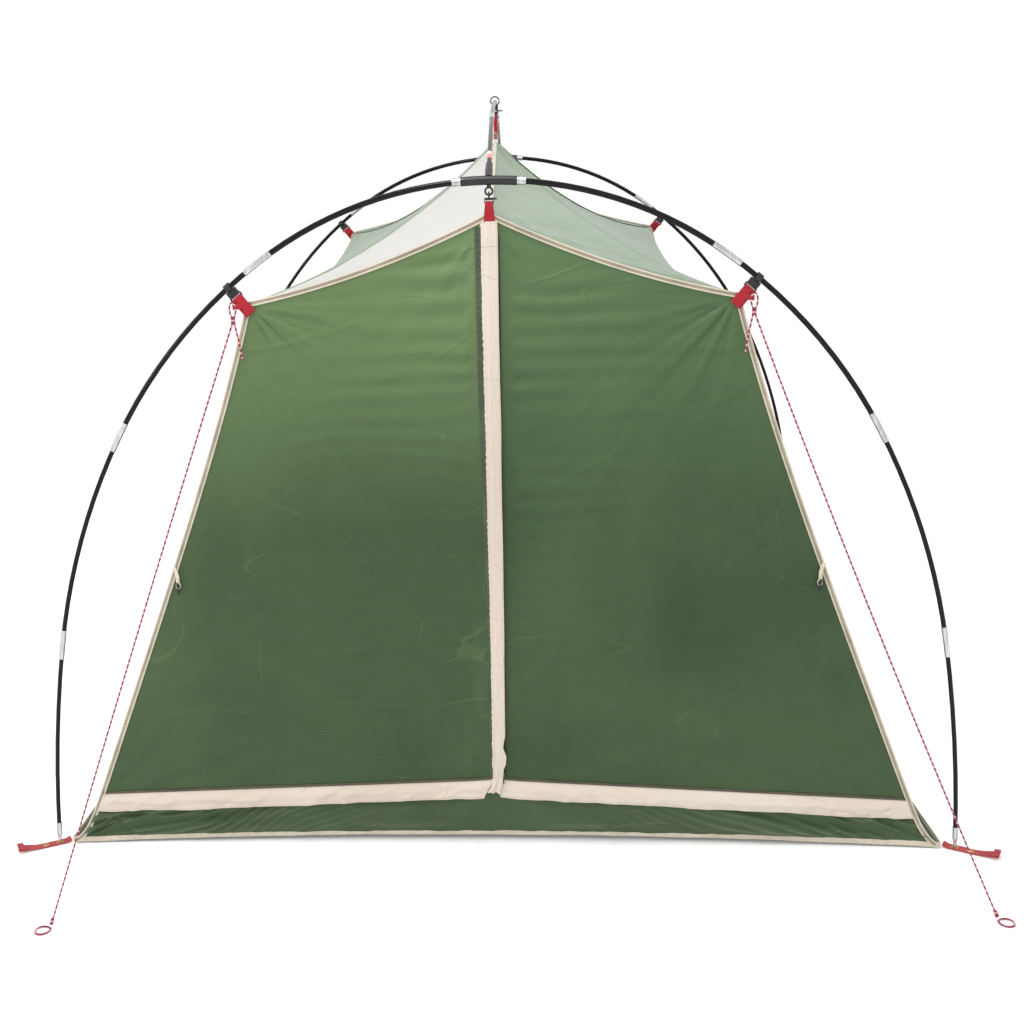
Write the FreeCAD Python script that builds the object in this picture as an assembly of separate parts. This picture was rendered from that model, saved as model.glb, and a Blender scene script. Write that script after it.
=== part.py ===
"""Inner tent hung inside a frame of two hoops and a ridge pole. Millimetres, +Z up.

The origin is on the ground at the centre of the footprint. The door is on the -Y side,
and left and right are as seen from in front of the door.
"""
import FreeCAD
import Part
import math
import os
from FreeCAD import Matrix, Vector

os.makedirs("parts", exist_ok=True)

# ---- frame -----------------------------------------------------------------------------
HOOP_Y = 1045.0                      # each hoop stands this far from the middle
HOOP_CROWN_Z = 1594.0
SECTION_LENGTHS = (549.5, 524.5, 542.0, 534.7)   # from the crown down to the foot
SECTION_TURNS = (35.8, 25.3, 18.5, 8.4)          # degrees that each section bends
POLE_RADII = (6.5, 6.0, 5.5, 5.25)
POLE_BORE_RADIUS = 2.6
SHOCK_CORD_RADIUS = 1.3
FERRULE_HALF = 37.0
FERRULE_RADII = (7.2, 6.8, 6.3)
FIT = 0.05                           # radial clearance of a tube in its sleeve
HUB_HALF = 61.0
HUB_RADIUS = 10.0
HUB_RING_LENGTH = 19.0
HUB_RING_RADIUS = 9.0
TIP_LENGTH = 28.0
RIDGE_APEX_Z = 1770.0
RIDGE_RISE = 172.0
RIDGE_RADIUS = 5.5
RIDGE_FERRULE_RADIUS = 6.3
RIDGE_SOCKET_START = 16.0
RIDGE_SOCKET_END = 52.0
EYE_DROP = 23.0
EYE_RADIUS = 10.0
EYE_HOLE_RADIUS = 5.8

# ---- fabric ----------------------------------------------------------------------------
CLOTH = 1.2
SEAM = 1.0                           # panels stop this far short of the seam line
WALL_Y = HOOP_Y
SHOULDER_X = 540.0
SHOULDER_Z = 1336.0
APEX_Z = 1518.0
PEAK_Z = 1662.0
DOOR_CORNER_X = 970.0
DOOR_CORNER_Z = 110.0
LEAF_TOP_Z = 1488.0                  # the door leaves stop short of the apex and of the lower corner,
LEAF_END_X = 945.0                   # where the cloth is sewn down
GROUND_CORNER_X = 1064.0
ZIP_CENTRE_Z = 162.0
ZIP_X = 19.4                         # the upright zip runs under the storm flap's free edge
FLAP_HALF = 19.0
FLAP_STANDOFF = 11.0
FLAP_TOP_Z = 1470.0
FOLD_GAP = 1.5                       # the leaves and the fixed cloth stop this far from the fold line
RAIN_FLAP_TALL = 41.0
RAIN_FLAP_END_X = 925.0
PIPING_WIDTH = 15.0
PIPING_THICK = 2.2
HEM_TALL = 10.0

# ---- zips ------------------------------------------------------------------------------
COIL_WIDTH = 2.1
COIL_HALF_THICK = 1.3
SLIDER_LONG = 14.0
SLIDER_WIDE = 8.0
SLIDER_PLATE = 1.6
SLIDER_GAP = 0.4
SLIDER_WEB = 1.0
UPRIGHT_PULLER_LONG = 20.0
BOTTOM_PULLER_LONG = 8.0

# ---- hanging hardware ------------------------------------------------------------------
CLIP_ALONG = 87.0                    # from the first ferrule down to the shoulder clip
CLIP_RADIUS = 10.5
PEAK_RING_RADIUS = 13.6
PEAK_RING_HOLE = 10.2                 # the pole lies at the foot of the ring's hole
WEBBING_THICK = 1.4
CORNER_TAB_WIDE = 24.0
APEX_TAB_WIDE = 15.4
FOOT_WEBBING_WIDE = 25.0
FOOT_WEBBING_START = 28.0            # inwards from the pole's tip
FOOT_WEBBING_END = 102.0             # outwards from the pole's tip
FOOT_WEBBING_ANGLE = 28.0
GROMMET_HOLE = 4.5
GROMMET_RADIUS = 9.0
GROMMET_TALL = 2.6
PEG_GROMMET_ALONG = 36.0

# ---- guy lines -------------------------------------------------------------------------
GUY_RADIUS = 2.0
GUY_ROUTE_RIGHT = ((574, -1058, 1302), (820, -1210, 648), (1096, -1363, 8))
GUY_ROUTE_LEFT = ((-574, -1058, 1302), (-794, -1245, 648), (-995, -1432, 8))
GUY_TAIL_ROUTE = ((571, -1061, 1297), (566, -1062, 1272), (561, -1061, 1243), (558, -1057, 1212))
KNOT_RADIUS = 5.0
PEG_LOOP_RADIUS = 20.0


def hoop_spans():
    """The four tangent arcs of half a hoop: centre, radius, start heading and length."""
    x, z, heading = 0.0, HOOP_CROWN_Z, 0.0
    spans = []
    for length, turn in zip(SECTION_LENGTHS, SECTION_TURNS):
        reach = length / math.radians(turn)
        centre = (x - reach * math.sin(heading), z - reach * math.cos(heading))
        spans.append((centre, reach, heading, length))
        heading += math.radians(turn)
        x = centre[0] + reach * math.sin(heading)
        z = centre[1] + reach * math.cos(heading)
    return spans


SPANS = hoop_spans()


def hoop_spot(span, along):
    """Point and downward tangent of the right half hoop in the plane y = 0."""
    centre, reach, start, _ = SPANS[span]
    heading = start + along / reach
    spot = Vector(centre[0] + reach * math.sin(heading), 0, centre[1] + reach * math.cos(heading))
    return spot, Vector(math.cos(heading), 0, -math.sin(heading))


def ring_face(spot, tangent, outer, inner):
    """A disc, or a ring when inner is above zero, square to the tangent."""
    face = Part.Face(Part.Wire(Part.makeCircle(outer, spot, tangent)))
    if inner > 0:
        face = face.cut(Part.Face(Part.Wire(Part.makeCircle(inner, spot, tangent)))).Faces[0]
    return face


def hoop_tube(span, start, end, outer, inner=0.0):
    """A tube along one arc of the right half hoop, between two lengths from the arc's start."""
    centre, reach, _, _ = SPANS[span]
    spot, tangent = hoop_spot(span, start)
    sweep = math.degrees((end - start) / reach)
    face = ring_face(spot, tangent, outer, inner)
    return face.revolve(Vector(centre[0], 0, centre[1]), Vector(0, 1, 0), sweep)


def as_solid(shape):
    """The single solid inside a shape."""
    return shape.Solids[0]


def fuse_all(shapes):
    """One shape from several that touch or overlap."""
    return shapes[0].fuse(shapes[1:]).removeSplitter()


def mirror_x(shape):
    return shape.mirror(Vector(0, 0, 0), Vector(1, 0, 0))


def mirror_y(shape):
    return shape.mirror(Vector(0, 0, 0), Vector(0, 1, 0))


def at_front(shape):
    """Move a shape built in the plane y = 0 to the front hoop."""
    return shape.translated(Vector(0, -HOOP_Y, 0))


def four_corners(shape):
    """A front right piece and its three mirror images."""
    front_pair = [shape, mirror_x(shape)]
    return front_pair + [mirror_y(piece) for piece in front_pair]


def write(node, shapes):
    """Write one node from one solid or several separate ones."""
    solids = [solid for shape in shapes for solid in shape.Solids]
    whole = solids[0] if len(solids) == 1 else Part.makeCompound(solids)
    whole.exportStep("parts/" + node + ".step")


# ---- frame -----------------------------------------------------------------------------
def pole_section(number):
    """One tube of the hoop, from the crown (0) to the foot (3)."""
    start = RIDGE_SOCKET_START if number == 0 else 1.0
    end = SECTION_LENGTHS[number] - (TIP_LENGTH if number == 3 else 1.0)
    return hoop_tube(number, start, end, POLE_RADII[number], POLE_BORE_RADIUS)


def hoop_ferrule(number):
    """The sleeve over the joint between two sections."""
    length = SECTION_LENGTHS[number]
    outer = FERRULE_RADII[number]
    upper = hoop_tube(number, length - FERRULE_HALF, length, outer, POLE_RADII[number] + FIT)
    lower = hoop_tube(number + 1, 0, FERRULE_HALF, outer, POLE_RADII[number + 1] + FIT)
    return fuse_all([upper, lower])


def pole_tip():
    """Socket over the lowest section's end, a shoulder, and a pin that reaches the ground."""
    socket_start = SECTION_LENGTHS[3] - TIP_LENGTH
    socket = hoop_tube(3, socket_start - 30, socket_start, 6.4, POLE_RADII[3] + FIT)
    spot, tangent = hoop_spot(3, socket_start)
    shoulder = Part.makeCone(6.4, 3.7, 10, spot, tangent)
    pin_length = (spot.z - 0.3) / -tangent.z
    pin = Part.makeCylinder(3.7, pin_length, spot, tangent)
    return fuse_all([socket, shoulder, pin])


RIDGE_REACH = (HOOP_Y ** 2 + RIDGE_RISE ** 2) / (2 * RIDGE_RISE)
RIDGE_HALF_ANGLE = math.asin(HOOP_Y / RIDGE_REACH)
RIDGE_HALF_LENGTH = RIDGE_REACH * RIDGE_HALF_ANGLE


def ridge_tube(start, end, outer, inner=0.0):
    """A tube along the ridge arc, between two lengths from the front hub backwards."""
    angle = -RIDGE_HALF_ANGLE + start / RIDGE_REACH
    low = RIDGE_APEX_Z - RIDGE_REACH
    spot = Vector(0, RIDGE_REACH * math.sin(angle), low + RIDGE_REACH * math.cos(angle))
    tangent = Vector(0, math.cos(angle), -math.sin(angle))
    face = ring_face(spot, tangent, outer, inner)
    sweep = -math.degrees((end - start) / RIDGE_REACH)
    return face.revolve(Vector(0, 0, low), Vector(1, 0, 0), sweep)


def front_hub():
    """Sleeve over both upper sections, the ridge pole's socket behind and an eye below."""
    half = hoop_tube(0, 0, HUB_HALF, HUB_RADIUS)
    bore = hoop_tube(0, RIDGE_SOCKET_START - 2, HUB_HALF, POLE_RADII[0] + FIT)
    cord_bore = hoop_tube(0, 0, RIDGE_SOCKET_START, 2.2)
    sleeve = at_front(fuse_all([half, mirror_x(half)]))
    socket = ridge_tube(0, RIDGE_SOCKET_END, RIDGE_RADIUS + 3.0)
    eye_centre = Vector(0, -HOOP_Y - 2.5, HOOP_CROWN_Z - EYE_DROP)
    eye = Part.makeCylinder(EYE_RADIUS, 5, eye_centre, Vector(0, 1, 0))
    neck = Part.makeBox(9, 5, 12, Vector(-4.5, -HOOP_Y - 2.5, HOOP_CROWN_Z - EYE_DROP + 7))
    body = fuse_all([sleeve, socket, eye, neck])
    hollow = [at_front(bore), at_front(mirror_x(bore)), at_front(cord_bore), at_front(mirror_x(cord_bore))]
    hollow.append(ridge_tube(RIDGE_SOCKET_START - 2, RIDGE_SOCKET_END + 1, RIDGE_RADIUS + FIT))
    hollow.append(Part.makeCylinder(EYE_HOLE_RADIUS, 7, eye_centre - Vector(0, 1, 0), Vector(0, 1, 0)))
    return body.cut(hollow)


def hub_rings():
    """The steel ring at each end of the front hub."""
    ring = hoop_tube(0, HUB_HALF, HUB_HALF + HUB_RING_LENGTH, HUB_RING_RADIUS, POLE_RADII[0] + FIT)
    return [at_front(ring), at_front(mirror_x(ring))]


def ridge_sections():
    """Four equal tubes, end to end inside their ferrules."""
    usable = 2 * (RIDGE_HALF_LENGTH - RIDGE_SOCKET_START)
    step = usable / 4
    tubes = []
    for number in range(4):
        start = RIDGE_SOCKET_START + number * step
        tubes.append(ridge_tube(start + 0.5, start + step - 0.5, RIDGE_RADIUS, POLE_BORE_RADIUS))
    return tubes


def ridge_ferrules():
    usable = 2 * (RIDGE_HALF_LENGTH - RIDGE_SOCKET_START)
    sleeves = []
    for number in (1, 2, 3):
        middle = RIDGE_SOCKET_START + number * usable / 4
        sleeves.append(ridge_tube(middle - FERRULE_HALF, middle + FERRULE_HALF,
                                  RIDGE_FERRULE_RADIUS, RIDGE_RADIUS + FIT))
    return sleeves


def ridge_collar():
    """Sleeve on the ridge pole just behind the front hub's socket."""
    start = RIDGE_SOCKET_END + 1
    return ridge_tube(start, start + 34, RIDGE_RADIUS + 2.2, RIDGE_RADIUS + FIT)


def shock_cords():
    """The elastic cord through each hoop and through the ridge pole."""
    spans = []
    for number in range(4):
        end = SECTION_LENGTHS[number] - (TIP_LENGTH + 6 if number == 3 else 0)
        spans.append(hoop_tube(number, 0, end, SHOCK_CORD_RADIUS))
    hoop = at_front(fuse_all(spans + [mirror_x(span) for span in spans]))
    inset = RIDGE_SOCKET_START + 2
    ridge = ridge_tube(inset, 2 * RIDGE_HALF_LENGTH - inset, SHOCK_CORD_RADIUS)
    return [hoop, mirror_y(hoop), ridge]


def write_frame():
    for number in range(4):
        write("hoop_poles_" + str(number + 1), four_corners(at_front(pole_section(number))))
    ferrules = []
    for number in range(3):
        ferrules += four_corners(at_front(hoop_ferrule(number)))
    write("hoop_ferrules", ferrules)
    write("pole_tips", four_corners(at_front(pole_tip())))
    hub = front_hub()
    write("front_hub", [hub])
    write("rear_hub", [mirror_y(hub)])
    rings = hub_rings()
    write("hub_rings", rings + [mirror_y(ring) for ring in rings])
    write("ridge_poles", ridge_sections())
    write("ridge_ferrules", ridge_ferrules())
    collar = ridge_collar()
    write("ridge_collars", [collar, mirror_y(collar)])
    write("shock_cords", shock_cords())


# ---- fabric panels ---------------------------------------------------------------------
def flat_panel(corners, inset=SEAM):
    """A flat panel of cloth centred on the plane of its corners, drawn in by the seam gap."""
    wire = Part.makePolygon(corners + [corners[0]])
    face = Part.Face(wire)
    if inset > 0:
        face = face.makeOffset2D(-inset, 2)
    face = face.Faces[0] if face.Faces else face
    normal = face.normalAt(0, 0)
    return as_solid(face.translated(normal * (-CLOTH / 2)).extrude(normal * CLOTH))


def front_point(x, z):
    return Vector(x, -WALL_Y, z)


def zip_line_z(x):
    """Height of the bottom zip at a distance from the middle."""
    return ZIP_CENTRE_Z - (ZIP_CENTRE_Z - DOOR_CORNER_Z) * abs(x) / DOOR_CORNER_X


FOLD_DROP = (APEX_Z - DOOR_CORNER_Z) / DOOR_CORNER_X   # fall of the fold line per unit sideways


def groundsheet():
    half_y = WALL_Y - 1.5
    half_x = GROUND_CORNER_X - 2
    return Part.makeBox(2 * half_x, 2 * half_y, 1.5, Vector(-half_x, -half_y, 0))


def front_sill():
    """The fixed band below the bottom zip."""
    low = 3.0
    edge = [front_point(-GROUND_CORNER_X, low), front_point(GROUND_CORNER_X, low),
            front_point(DOOR_CORNER_X, DOOR_CORNER_Z - 4), front_point(0, ZIP_CENTRE_Z - 4),
            front_point(-DOOR_CORNER_X, DOOR_CORNER_Z - 4)]
    return flat_panel(edge)


def fold_point(x):
    """A point of the right fold line."""
    return front_point(x, APEX_Z - x * FOLD_DROP)


def fixed_front_panel():
    """Right fixed cloth: outside the fold line, at the apex and in the lower corner."""
    main = flat_panel([front_point(0, APEX_Z), front_point(SHOULDER_X, SHOULDER_Z),
                       front_point(DOOR_CORNER_X, DOOR_CORNER_Z)], FOLD_GAP)
    top_x = (APEX_Z - LEAF_TOP_Z) / FOLD_DROP
    apex = flat_panel([front_point(0, APEX_Z), fold_point(top_x), front_point(0, LEAF_TOP_Z)])
    corner = flat_panel([fold_point(LEAF_END_X), front_point(DOOR_CORNER_X, DOOR_CORNER_Z),
                         front_point(LEAF_END_X, zip_line_z(LEAF_END_X))])
    return [main, apex, corner]


def door_leaf_left():
    """Reaches past the middle to the upright zip."""
    edge = ZIP_X - 3.2
    low_corner = fold_point(LEAF_END_X)
    return flat_panel([front_point((LEAF_TOP_Z - APEX_Z) / FOLD_DROP, LEAF_TOP_Z),
                       front_point(-LEAF_END_X, low_corner.z),
                       front_point(-LEAF_END_X, zip_line_z(LEAF_END_X)),
                       front_point(0, ZIP_CENTRE_Z), front_point(edge, zip_line_z(edge)),
                       front_point(edge, LEAF_TOP_Z)], FOLD_GAP)


def door_leaf_right():
    edge = ZIP_X + 3.2
    return flat_panel([fold_point(edge), front_point(edge, zip_line_z(edge)),
                       front_point(LEAF_END_X, zip_line_z(LEAF_END_X)),
                       fold_point(LEAF_END_X)], FOLD_GAP)


def rear_wall():
    corners = [(-GROUND_CORNER_X, 3), (GROUND_CORNER_X, 3), (DOOR_CORNER_X, DOOR_CORNER_Z),
               (SHOULDER_X, SHOULDER_Z), (0, APEX_Z), (-SHOULDER_X, SHOULDER_Z),
               (-DOOR_CORNER_X, DOOR_CORNER_Z)]
    return flat_panel([Vector(x, WALL_Y, z) for x, z in corners])


def side_wall():
    """Right side wall: a steep upper part and a skirt that spreads to the ground."""
    lean = math.atan2(DOOR_CORNER_X - SHOULDER_X, SHOULDER_Z - DOOR_CORNER_Z)
    spread = math.atan2(GROUND_CORNER_X - DOOR_CORNER_X, DOOR_CORNER_Z - 3)
    bend = (lean + spread) / 2
    points = [(SHOULDER_X, SHOULDER_Z - 3, lean), (DOOR_CORNER_X, DOOR_CORNER_Z, bend),
              (GROUND_CORNER_X - 1, 4, spread)]
    outer = [(x + math.cos(a) * CLOTH / 2, z + math.sin(a) * CLOTH / 2) for x, z, a in points]
    inner = [(x - math.cos(a) * CLOTH / 2, z - math.sin(a) * CLOTH / 2) for x, z, a in points]
    outline = [Vector(x, -WALL_Y + 2, z) for x, z in outer + inner[::-1]]
    face = Part.Face(Part.makePolygon(outline + [outline[0]]))
    return as_solid(face.extrude(Vector(0, 2 * WALL_Y - 4, 0)))


def roof_gores():
    """The six gores of the roof, by name."""
    apex = Vector(0, -WALL_Y + 1.5, APEX_Z)
    shoulder = Vector(SHOULDER_X, -WALL_Y + 1.5, SHOULDER_Z)
    rear_shoulder = Vector(SHOULDER_X, WALL_Y - 1.5, SHOULDER_Z)
    peak = Vector(0, 0, PEAK_Z)
    front_right = flat_panel([apex, shoulder, peak])
    right = flat_panel([shoulder, rear_shoulder, peak])
    rear_right = mirror_y(front_right)
    return {"roof_front_right": front_right, "roof_front_left": mirror_x(front_right),
            "roof_right": right, "roof_left": mirror_x(right),
            "roof_rear_right": rear_right, "roof_rear_left": mirror_x(rear_right)}


# ---- trim ------------------------------------------------------------------------------
def front_strip(start, end, width, near, far):
    """A flat strip in front of the front wall from one point to another, standing out from near to far."""
    x0, z0 = start
    x1, z1 = end
    length = math.hypot(x1 - x0, z1 - z0)
    side = Vector(-(z1 - z0) / length, 0, (x1 - x0) / length) * (width / 2)
    low = Vector(x0, -WALL_Y - near, z0)
    high = Vector(x1, -WALL_Y - near, z1)
    face = Part.Face(Part.makePolygon([low + side, high + side, high - side, low - side, low + side]))
    return face.extrude(Vector(0, near - far, 0))


def seam_piping():
    """Piping on the side seams and on the roof's front and rear edges."""
    near = CLOTH / 2 + 0.4
    far = near + PIPING_THICK
    runs = [((DOOR_CORNER_X, DOOR_CORNER_Z), (SHOULDER_X + 6, SHOULDER_Z - 16)),
            ((GROUND_CORNER_X - 18, 24), (DOOR_CORNER_X + 10, DOOR_CORNER_Z - 11)),
            ((SHOULDER_X - 12, SHOULDER_Z + 1), (12, APEX_Z - 7))]
    pieces = []
    for start, end in runs:
        pieces += four_corners(front_strip(start, end, PIPING_WIDTH, near, far))
    return pieces


def roof_seams():
    """Binding over the ridge seam and over the four seams from the shoulders to the peak."""
    lift = CLOTH / 2 + 1.6
    peak = Vector(0, -12, PEAK_Z + lift - 2)
    apex = Vector(0, -WALL_Y + 30, APEX_Z + lift + 4.5)
    shoulder = Vector(SHOULDER_X - 16, -WALL_Y + 32, SHOULDER_Z + lift + 12)
    ridge = Part.makeCylinder(1.5, (peak - apex).Length, apex, peak - apex)
    top = Vector(10, -20, PEAK_Z + lift)
    hip = Part.makeCylinder(1.5, (top - shoulder).Length, shoulder, top - shoulder)
    return [ridge, mirror_y(ridge)] + four_corners(hip)


def ground_hem():
    """The pale edge of the walls just above the ground."""
    near = WALL_Y + CLOTH / 2 + 0.3
    thick = 1.4
    low = 1.6
    front = Part.makeBox(2 * GROUND_CORNER_X - 16, thick, HEM_TALL,
                         Vector(-GROUND_CORNER_X + 8, -near - thick, low))
    side = Part.makeBox(thick, 2 * WALL_Y - 12, HEM_TALL, Vector(GROUND_CORNER_X + 2, -WALL_Y + 6, low))
    return [front, mirror_y(front), side, mirror_x(side)]


def storm_flap():
    """Strip over the upright zip: sewn on at the left, free on the right."""
    wall = -WALL_Y - CLOTH / 2 - 0.3
    out = -WALL_Y - FLAP_STANDOFF
    low = zip_line_z(0) - 14
    outline = [(-FLAP_HALF, wall), (-FLAP_HALF, out), (FLAP_HALF, out), (FLAP_HALF, out + CLOTH),
               (-FLAP_HALF + CLOTH, out + CLOTH), (-FLAP_HALF + CLOTH, wall)]
    points = [Vector(x, y, zip_line_z(0) + RAIN_FLAP_TALL) for x, y in outline]
    channel = Part.Face(Part.makePolygon(points + [points[0]]))
    upper = channel.extrude(Vector(0, 0, FLAP_TOP_Z - points[0].z))
    tongue = Part.makeBox(2 * FLAP_HALF, CLOTH, points[0].z - low, Vector(-FLAP_HALF, out, low))
    return fuse_all([as_solid(upper), tongue])


def rain_flap(start_x):
    """Strip over the bottom zip on the right: sewn on above, free below."""
    wall = -WALL_Y - CLOTH / 2 - 1.0
    out = -WALL_Y - FLAP_STANDOFF + 3.0
    half = RAIN_FLAP_TALL / 2
    outline = [(wall, half), (out, half), (out, -half), (out + CLOTH, -half),
               (out + CLOTH, half - CLOTH), (wall, half - CLOTH)]
    points = [Vector(start_x, y, zip_line_z(start_x) + z) for y, z in outline]
    face = Part.Face(Part.makePolygon(points + [points[0]]))
    run = RAIN_FLAP_END_X - start_x
    return as_solid(face.extrude(Vector(run, 0, zip_line_z(RAIN_FLAP_END_X) - zip_line_z(start_x))))


def write_fabric():
    write("groundsheet", [groundsheet()])
    write("front_sill", [front_sill()])
    panel = fixed_front_panel()
    write("front_panel_right", panel)
    write("front_panel_left", [mirror_x(piece) for piece in panel])
    write("door_left", [door_leaf_left()])
    write("door_right", [door_leaf_right()])
    write("rear_wall", [rear_wall()])
    wall = side_wall()
    write("side_wall_right", [wall])
    write("side_wall_left", [mirror_x(wall)])
    for name, gore in roof_gores().items():
        write(name, [gore])
    write("seam_piping", seam_piping())
    write("roof_seams", roof_seams())
    write("ground_hem", ground_hem())
    write("storm_flap", [storm_flap()])
    write("rain_flap_right", [rain_flap(FLAP_HALF + 2)])
    write("rain_flap_left", [mirror_x(rain_flap(FLAP_HALF + 2))])


# ---- zips ------------------------------------------------------------------------------
def upright_coil(edge, low, high):
    """One side of the upright zip; edge is the side away from the other coil."""
    return Part.makeBox(COIL_WIDTH, 2 * COIL_HALF_THICK, high - low,
                        Vector(edge, -WALL_Y - COIL_HALF_THICK, low))


def slider():
    """A slider for a coil whose edge lies at local x = 0, the cloth towards -x, sliding along z."""
    inner = COIL_HALF_THICK + SLIDER_GAP
    outer = inner + SLIDER_PLATE
    block = Part.makeBox(SLIDER_WIDE + SLIDER_WEB, 2 * outer, SLIDER_LONG,
                         Vector(-SLIDER_WIDE, -outer, -SLIDER_LONG / 2))
    slot = Part.makeBox(SLIDER_WIDE + SLIDER_GAP, 2 * inner, SLIDER_LONG + 2,
                        Vector(-SLIDER_WIDE, -inner, -SLIDER_LONG / 2 - 1))
    lug = Part.makeCylinder(1.4, 2.2, Vector(-4, -outer, 2), Vector(0, -1, 0))
    channel = block.cut(slot)
    corners = [edge for edge in channel.Edges if edge.BoundBox.YLength > 2 * outer - 0.1]
    return fuse_all([as_solid(channel.makeFillet(0.5, corners)), lug])


def puller(long):
    """Pull tab hung on the slider's lug, which is at the local origin."""
    outer = COIL_HALF_THICK + SLIDER_GAP + SLIDER_PLATE
    near = -outer - 1.9
    disc = Part.makeCylinder(2.8, 1.4, Vector(0, near, 0), Vector(0, 1, 0))
    blade = Part.makeBox(4.2, 1.4, long, Vector(-2.1, near, -long))
    grip = Part.makeCylinder(3.0, 1.4, Vector(0, near, -long), Vector(0, 1, 0))
    lug_hole = Part.makeCylinder(1.5, 4, Vector(0, near - 1, 0), Vector(0, 1, 0))
    return fuse_all([disc, blade, grip]).cut(lug_hole)


UPRIGHT_SLIDER_SPOT = Vector(ZIP_X - 1.0, -WALL_Y, ZIP_CENTRE_Z + 28)
BOTTOM_SLIDER_X = 44.0


def bottom_slider():
    """Right bottom slider, turned so that it runs outwards along the sill."""
    body = slider()
    fall = math.degrees(math.atan2(ZIP_CENTRE_Z - DOOR_CORNER_Z, DOOR_CORNER_X))
    body.rotate(Vector(0, 0, 0), Vector(0, 1, 0), -90 + fall)
    return body


def bottom_coil():
    """The sill's half of the bottom zip, right side."""
    start, end = BOTTOM_SLIDER_X - 22, DOOR_CORNER_X - 22
    points = [(start, zip_line_z(start) - 4.6), (end, zip_line_z(end) - 4.6),
              (end, zip_line_z(end) - 2.6), (start, zip_line_z(start) - 2.6)]
    outline = [Vector(x, -WALL_Y - COIL_HALF_THICK, z) for x, z in points]
    face = Part.Face(Part.makePolygon(outline + [outline[0]]))
    return as_solid(face.extrude(Vector(0, 2 * COIL_HALF_THICK, 0)))


def write_zips():
    low = zip_line_z(ZIP_X) + 4
    top = APEX_Z - (ZIP_X + 6) * FOLD_DROP - 12
    write("zip_coil_left", [upright_coil(ZIP_X - 1.0 - COIL_WIDTH, low, top)])
    write("zip_coil_right", [upright_coil(ZIP_X + 0.6, low, top)])
    coil = bottom_coil()
    write("zip_coil_bottom", [coil, mirror_x(coil)])
    write("slider_upright", [slider().translated(UPRIGHT_SLIDER_SPOT)])
    lug = UPRIGHT_SLIDER_SPOT + Vector(-4, 0, 2)
    write("puller_upright", [puller(UPRIGHT_PULLER_LONG).translated(lug)])
    seat = Vector(BOTTOM_SLIDER_X, -WALL_Y, zip_line_z(BOTTOM_SLIDER_X) - 2.6)
    body = bottom_slider().translated(seat)
    write("slider_right", [body])
    write("slider_left", [mirror_x(body)])
    fall = math.atan2(ZIP_CENTRE_Z - DOOR_CORNER_Z, DOOR_CORNER_X)
    lug = seat + Vector(-2 * math.cos(fall) - 4 * math.sin(fall), 0, 2 * math.sin(fall) - 4 * math.cos(fall))
    tab = puller(BOTTOM_PULLER_LONG).translated(lug)
    write("puller_right", [tab])
    write("puller_left", [mirror_x(tab)])


# ---- hanging hardware ------------------------------------------------------------------
def placed(shape, spot, along_x, along_z):
    """Turn a shape's own X and Z axes to two square directions and move it to a spot."""
    along_y = along_z.cross(along_x)
    turn = Matrix(along_x.x, along_y.x, along_z.x, spot.x,
                  along_x.y, along_y.y, along_z.y, spot.y,
                  along_x.z, along_y.z, along_z.z, spot.z, 0, 0, 0, 1)
    copy = shape.copy()
    copy.Placement = FreeCAD.Placement(turn)
    return copy


def snap_clip():
    """C clip about the local z axis, with a slotted frame towards +x for the webbing."""
    ring = Part.makeCylinder(CLIP_RADIUS, 14, Vector(0, 0, -7))
    arm = Part.makeBox(16, 7, 26, Vector(7, -3.5, -13))
    frame = Part.makeBox(9, 7, 30, Vector(22, -3.5, -15))
    body = fuse_all([ring, arm, frame])
    bore = Part.makeCylinder(POLE_RADII[1] + 0.3, 16, Vector(0, 0, -8))
    mouth = Part.makeBox(12, 8, 16, Vector(-14, -4, -8))
    slot = Part.makeBox(3, 9, 25.5, Vector(25, -4.5, -12.75))
    return as_solid(body.cut([bore, mouth, slot]))


def corner_tab():
    """Webbing folded through the clip's frame, in the clip's own axes: long in front, short behind."""
    half = CORNER_TAB_WIDE / 2
    gap = 4.2
    front = Part.makeBox(35, WEBBING_THICK, 2 * half, Vector(26, -gap - WEBBING_THICK, -half))
    rear = Part.makeBox(6, WEBBING_THICK, 2 * half, Vector(26, gap, -half))
    fold = Part.makeBox(WEBBING_THICK, 2 * gap + 2 * WEBBING_THICK, 2 * half,
                        Vector(26, -gap - WEBBING_THICK, -half))
    return fuse_all([front, rear, fold])


def at_clip(shape):
    """Move a shape from the clip's own axes to the front right shoulder."""
    spot, tangent = hoop_spot(1, CLIP_ALONG)
    inward = Vector(tangent.z, 0, -tangent.x)
    spot = spot - Vector(0, HOOP_Y, 0)
    return placed(shape, spot, inward, tangent)


def apex_hook():
    """Hook through the front hub's eye, with a slotted frame below for the webbing."""
    ring_z = HOOP_CROWN_Z - EYE_DROP - (EYE_RADIUS + EYE_HOLE_RADIUS) / 2
    ring = Part.makeTorus(5.6, 1.7, Vector(0, -HOOP_Y, ring_z), Vector(1, 0, 0))
    frame = Part.makeBox(20, 7, 13, Vector(-10, -HOOP_Y - 3.5, ring_z - 19))
    slot = Part.makeBox(16.4, 9, 5, Vector(-8.2, -HOOP_Y - 4.5, ring_z - 16))
    tail = Part.makeBox(8, 4, 3.5, Vector(9, -HOOP_Y - 2, ring_z - 10))
    return as_solid(fuse_all([ring, frame, tail]).cut(slot))


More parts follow.
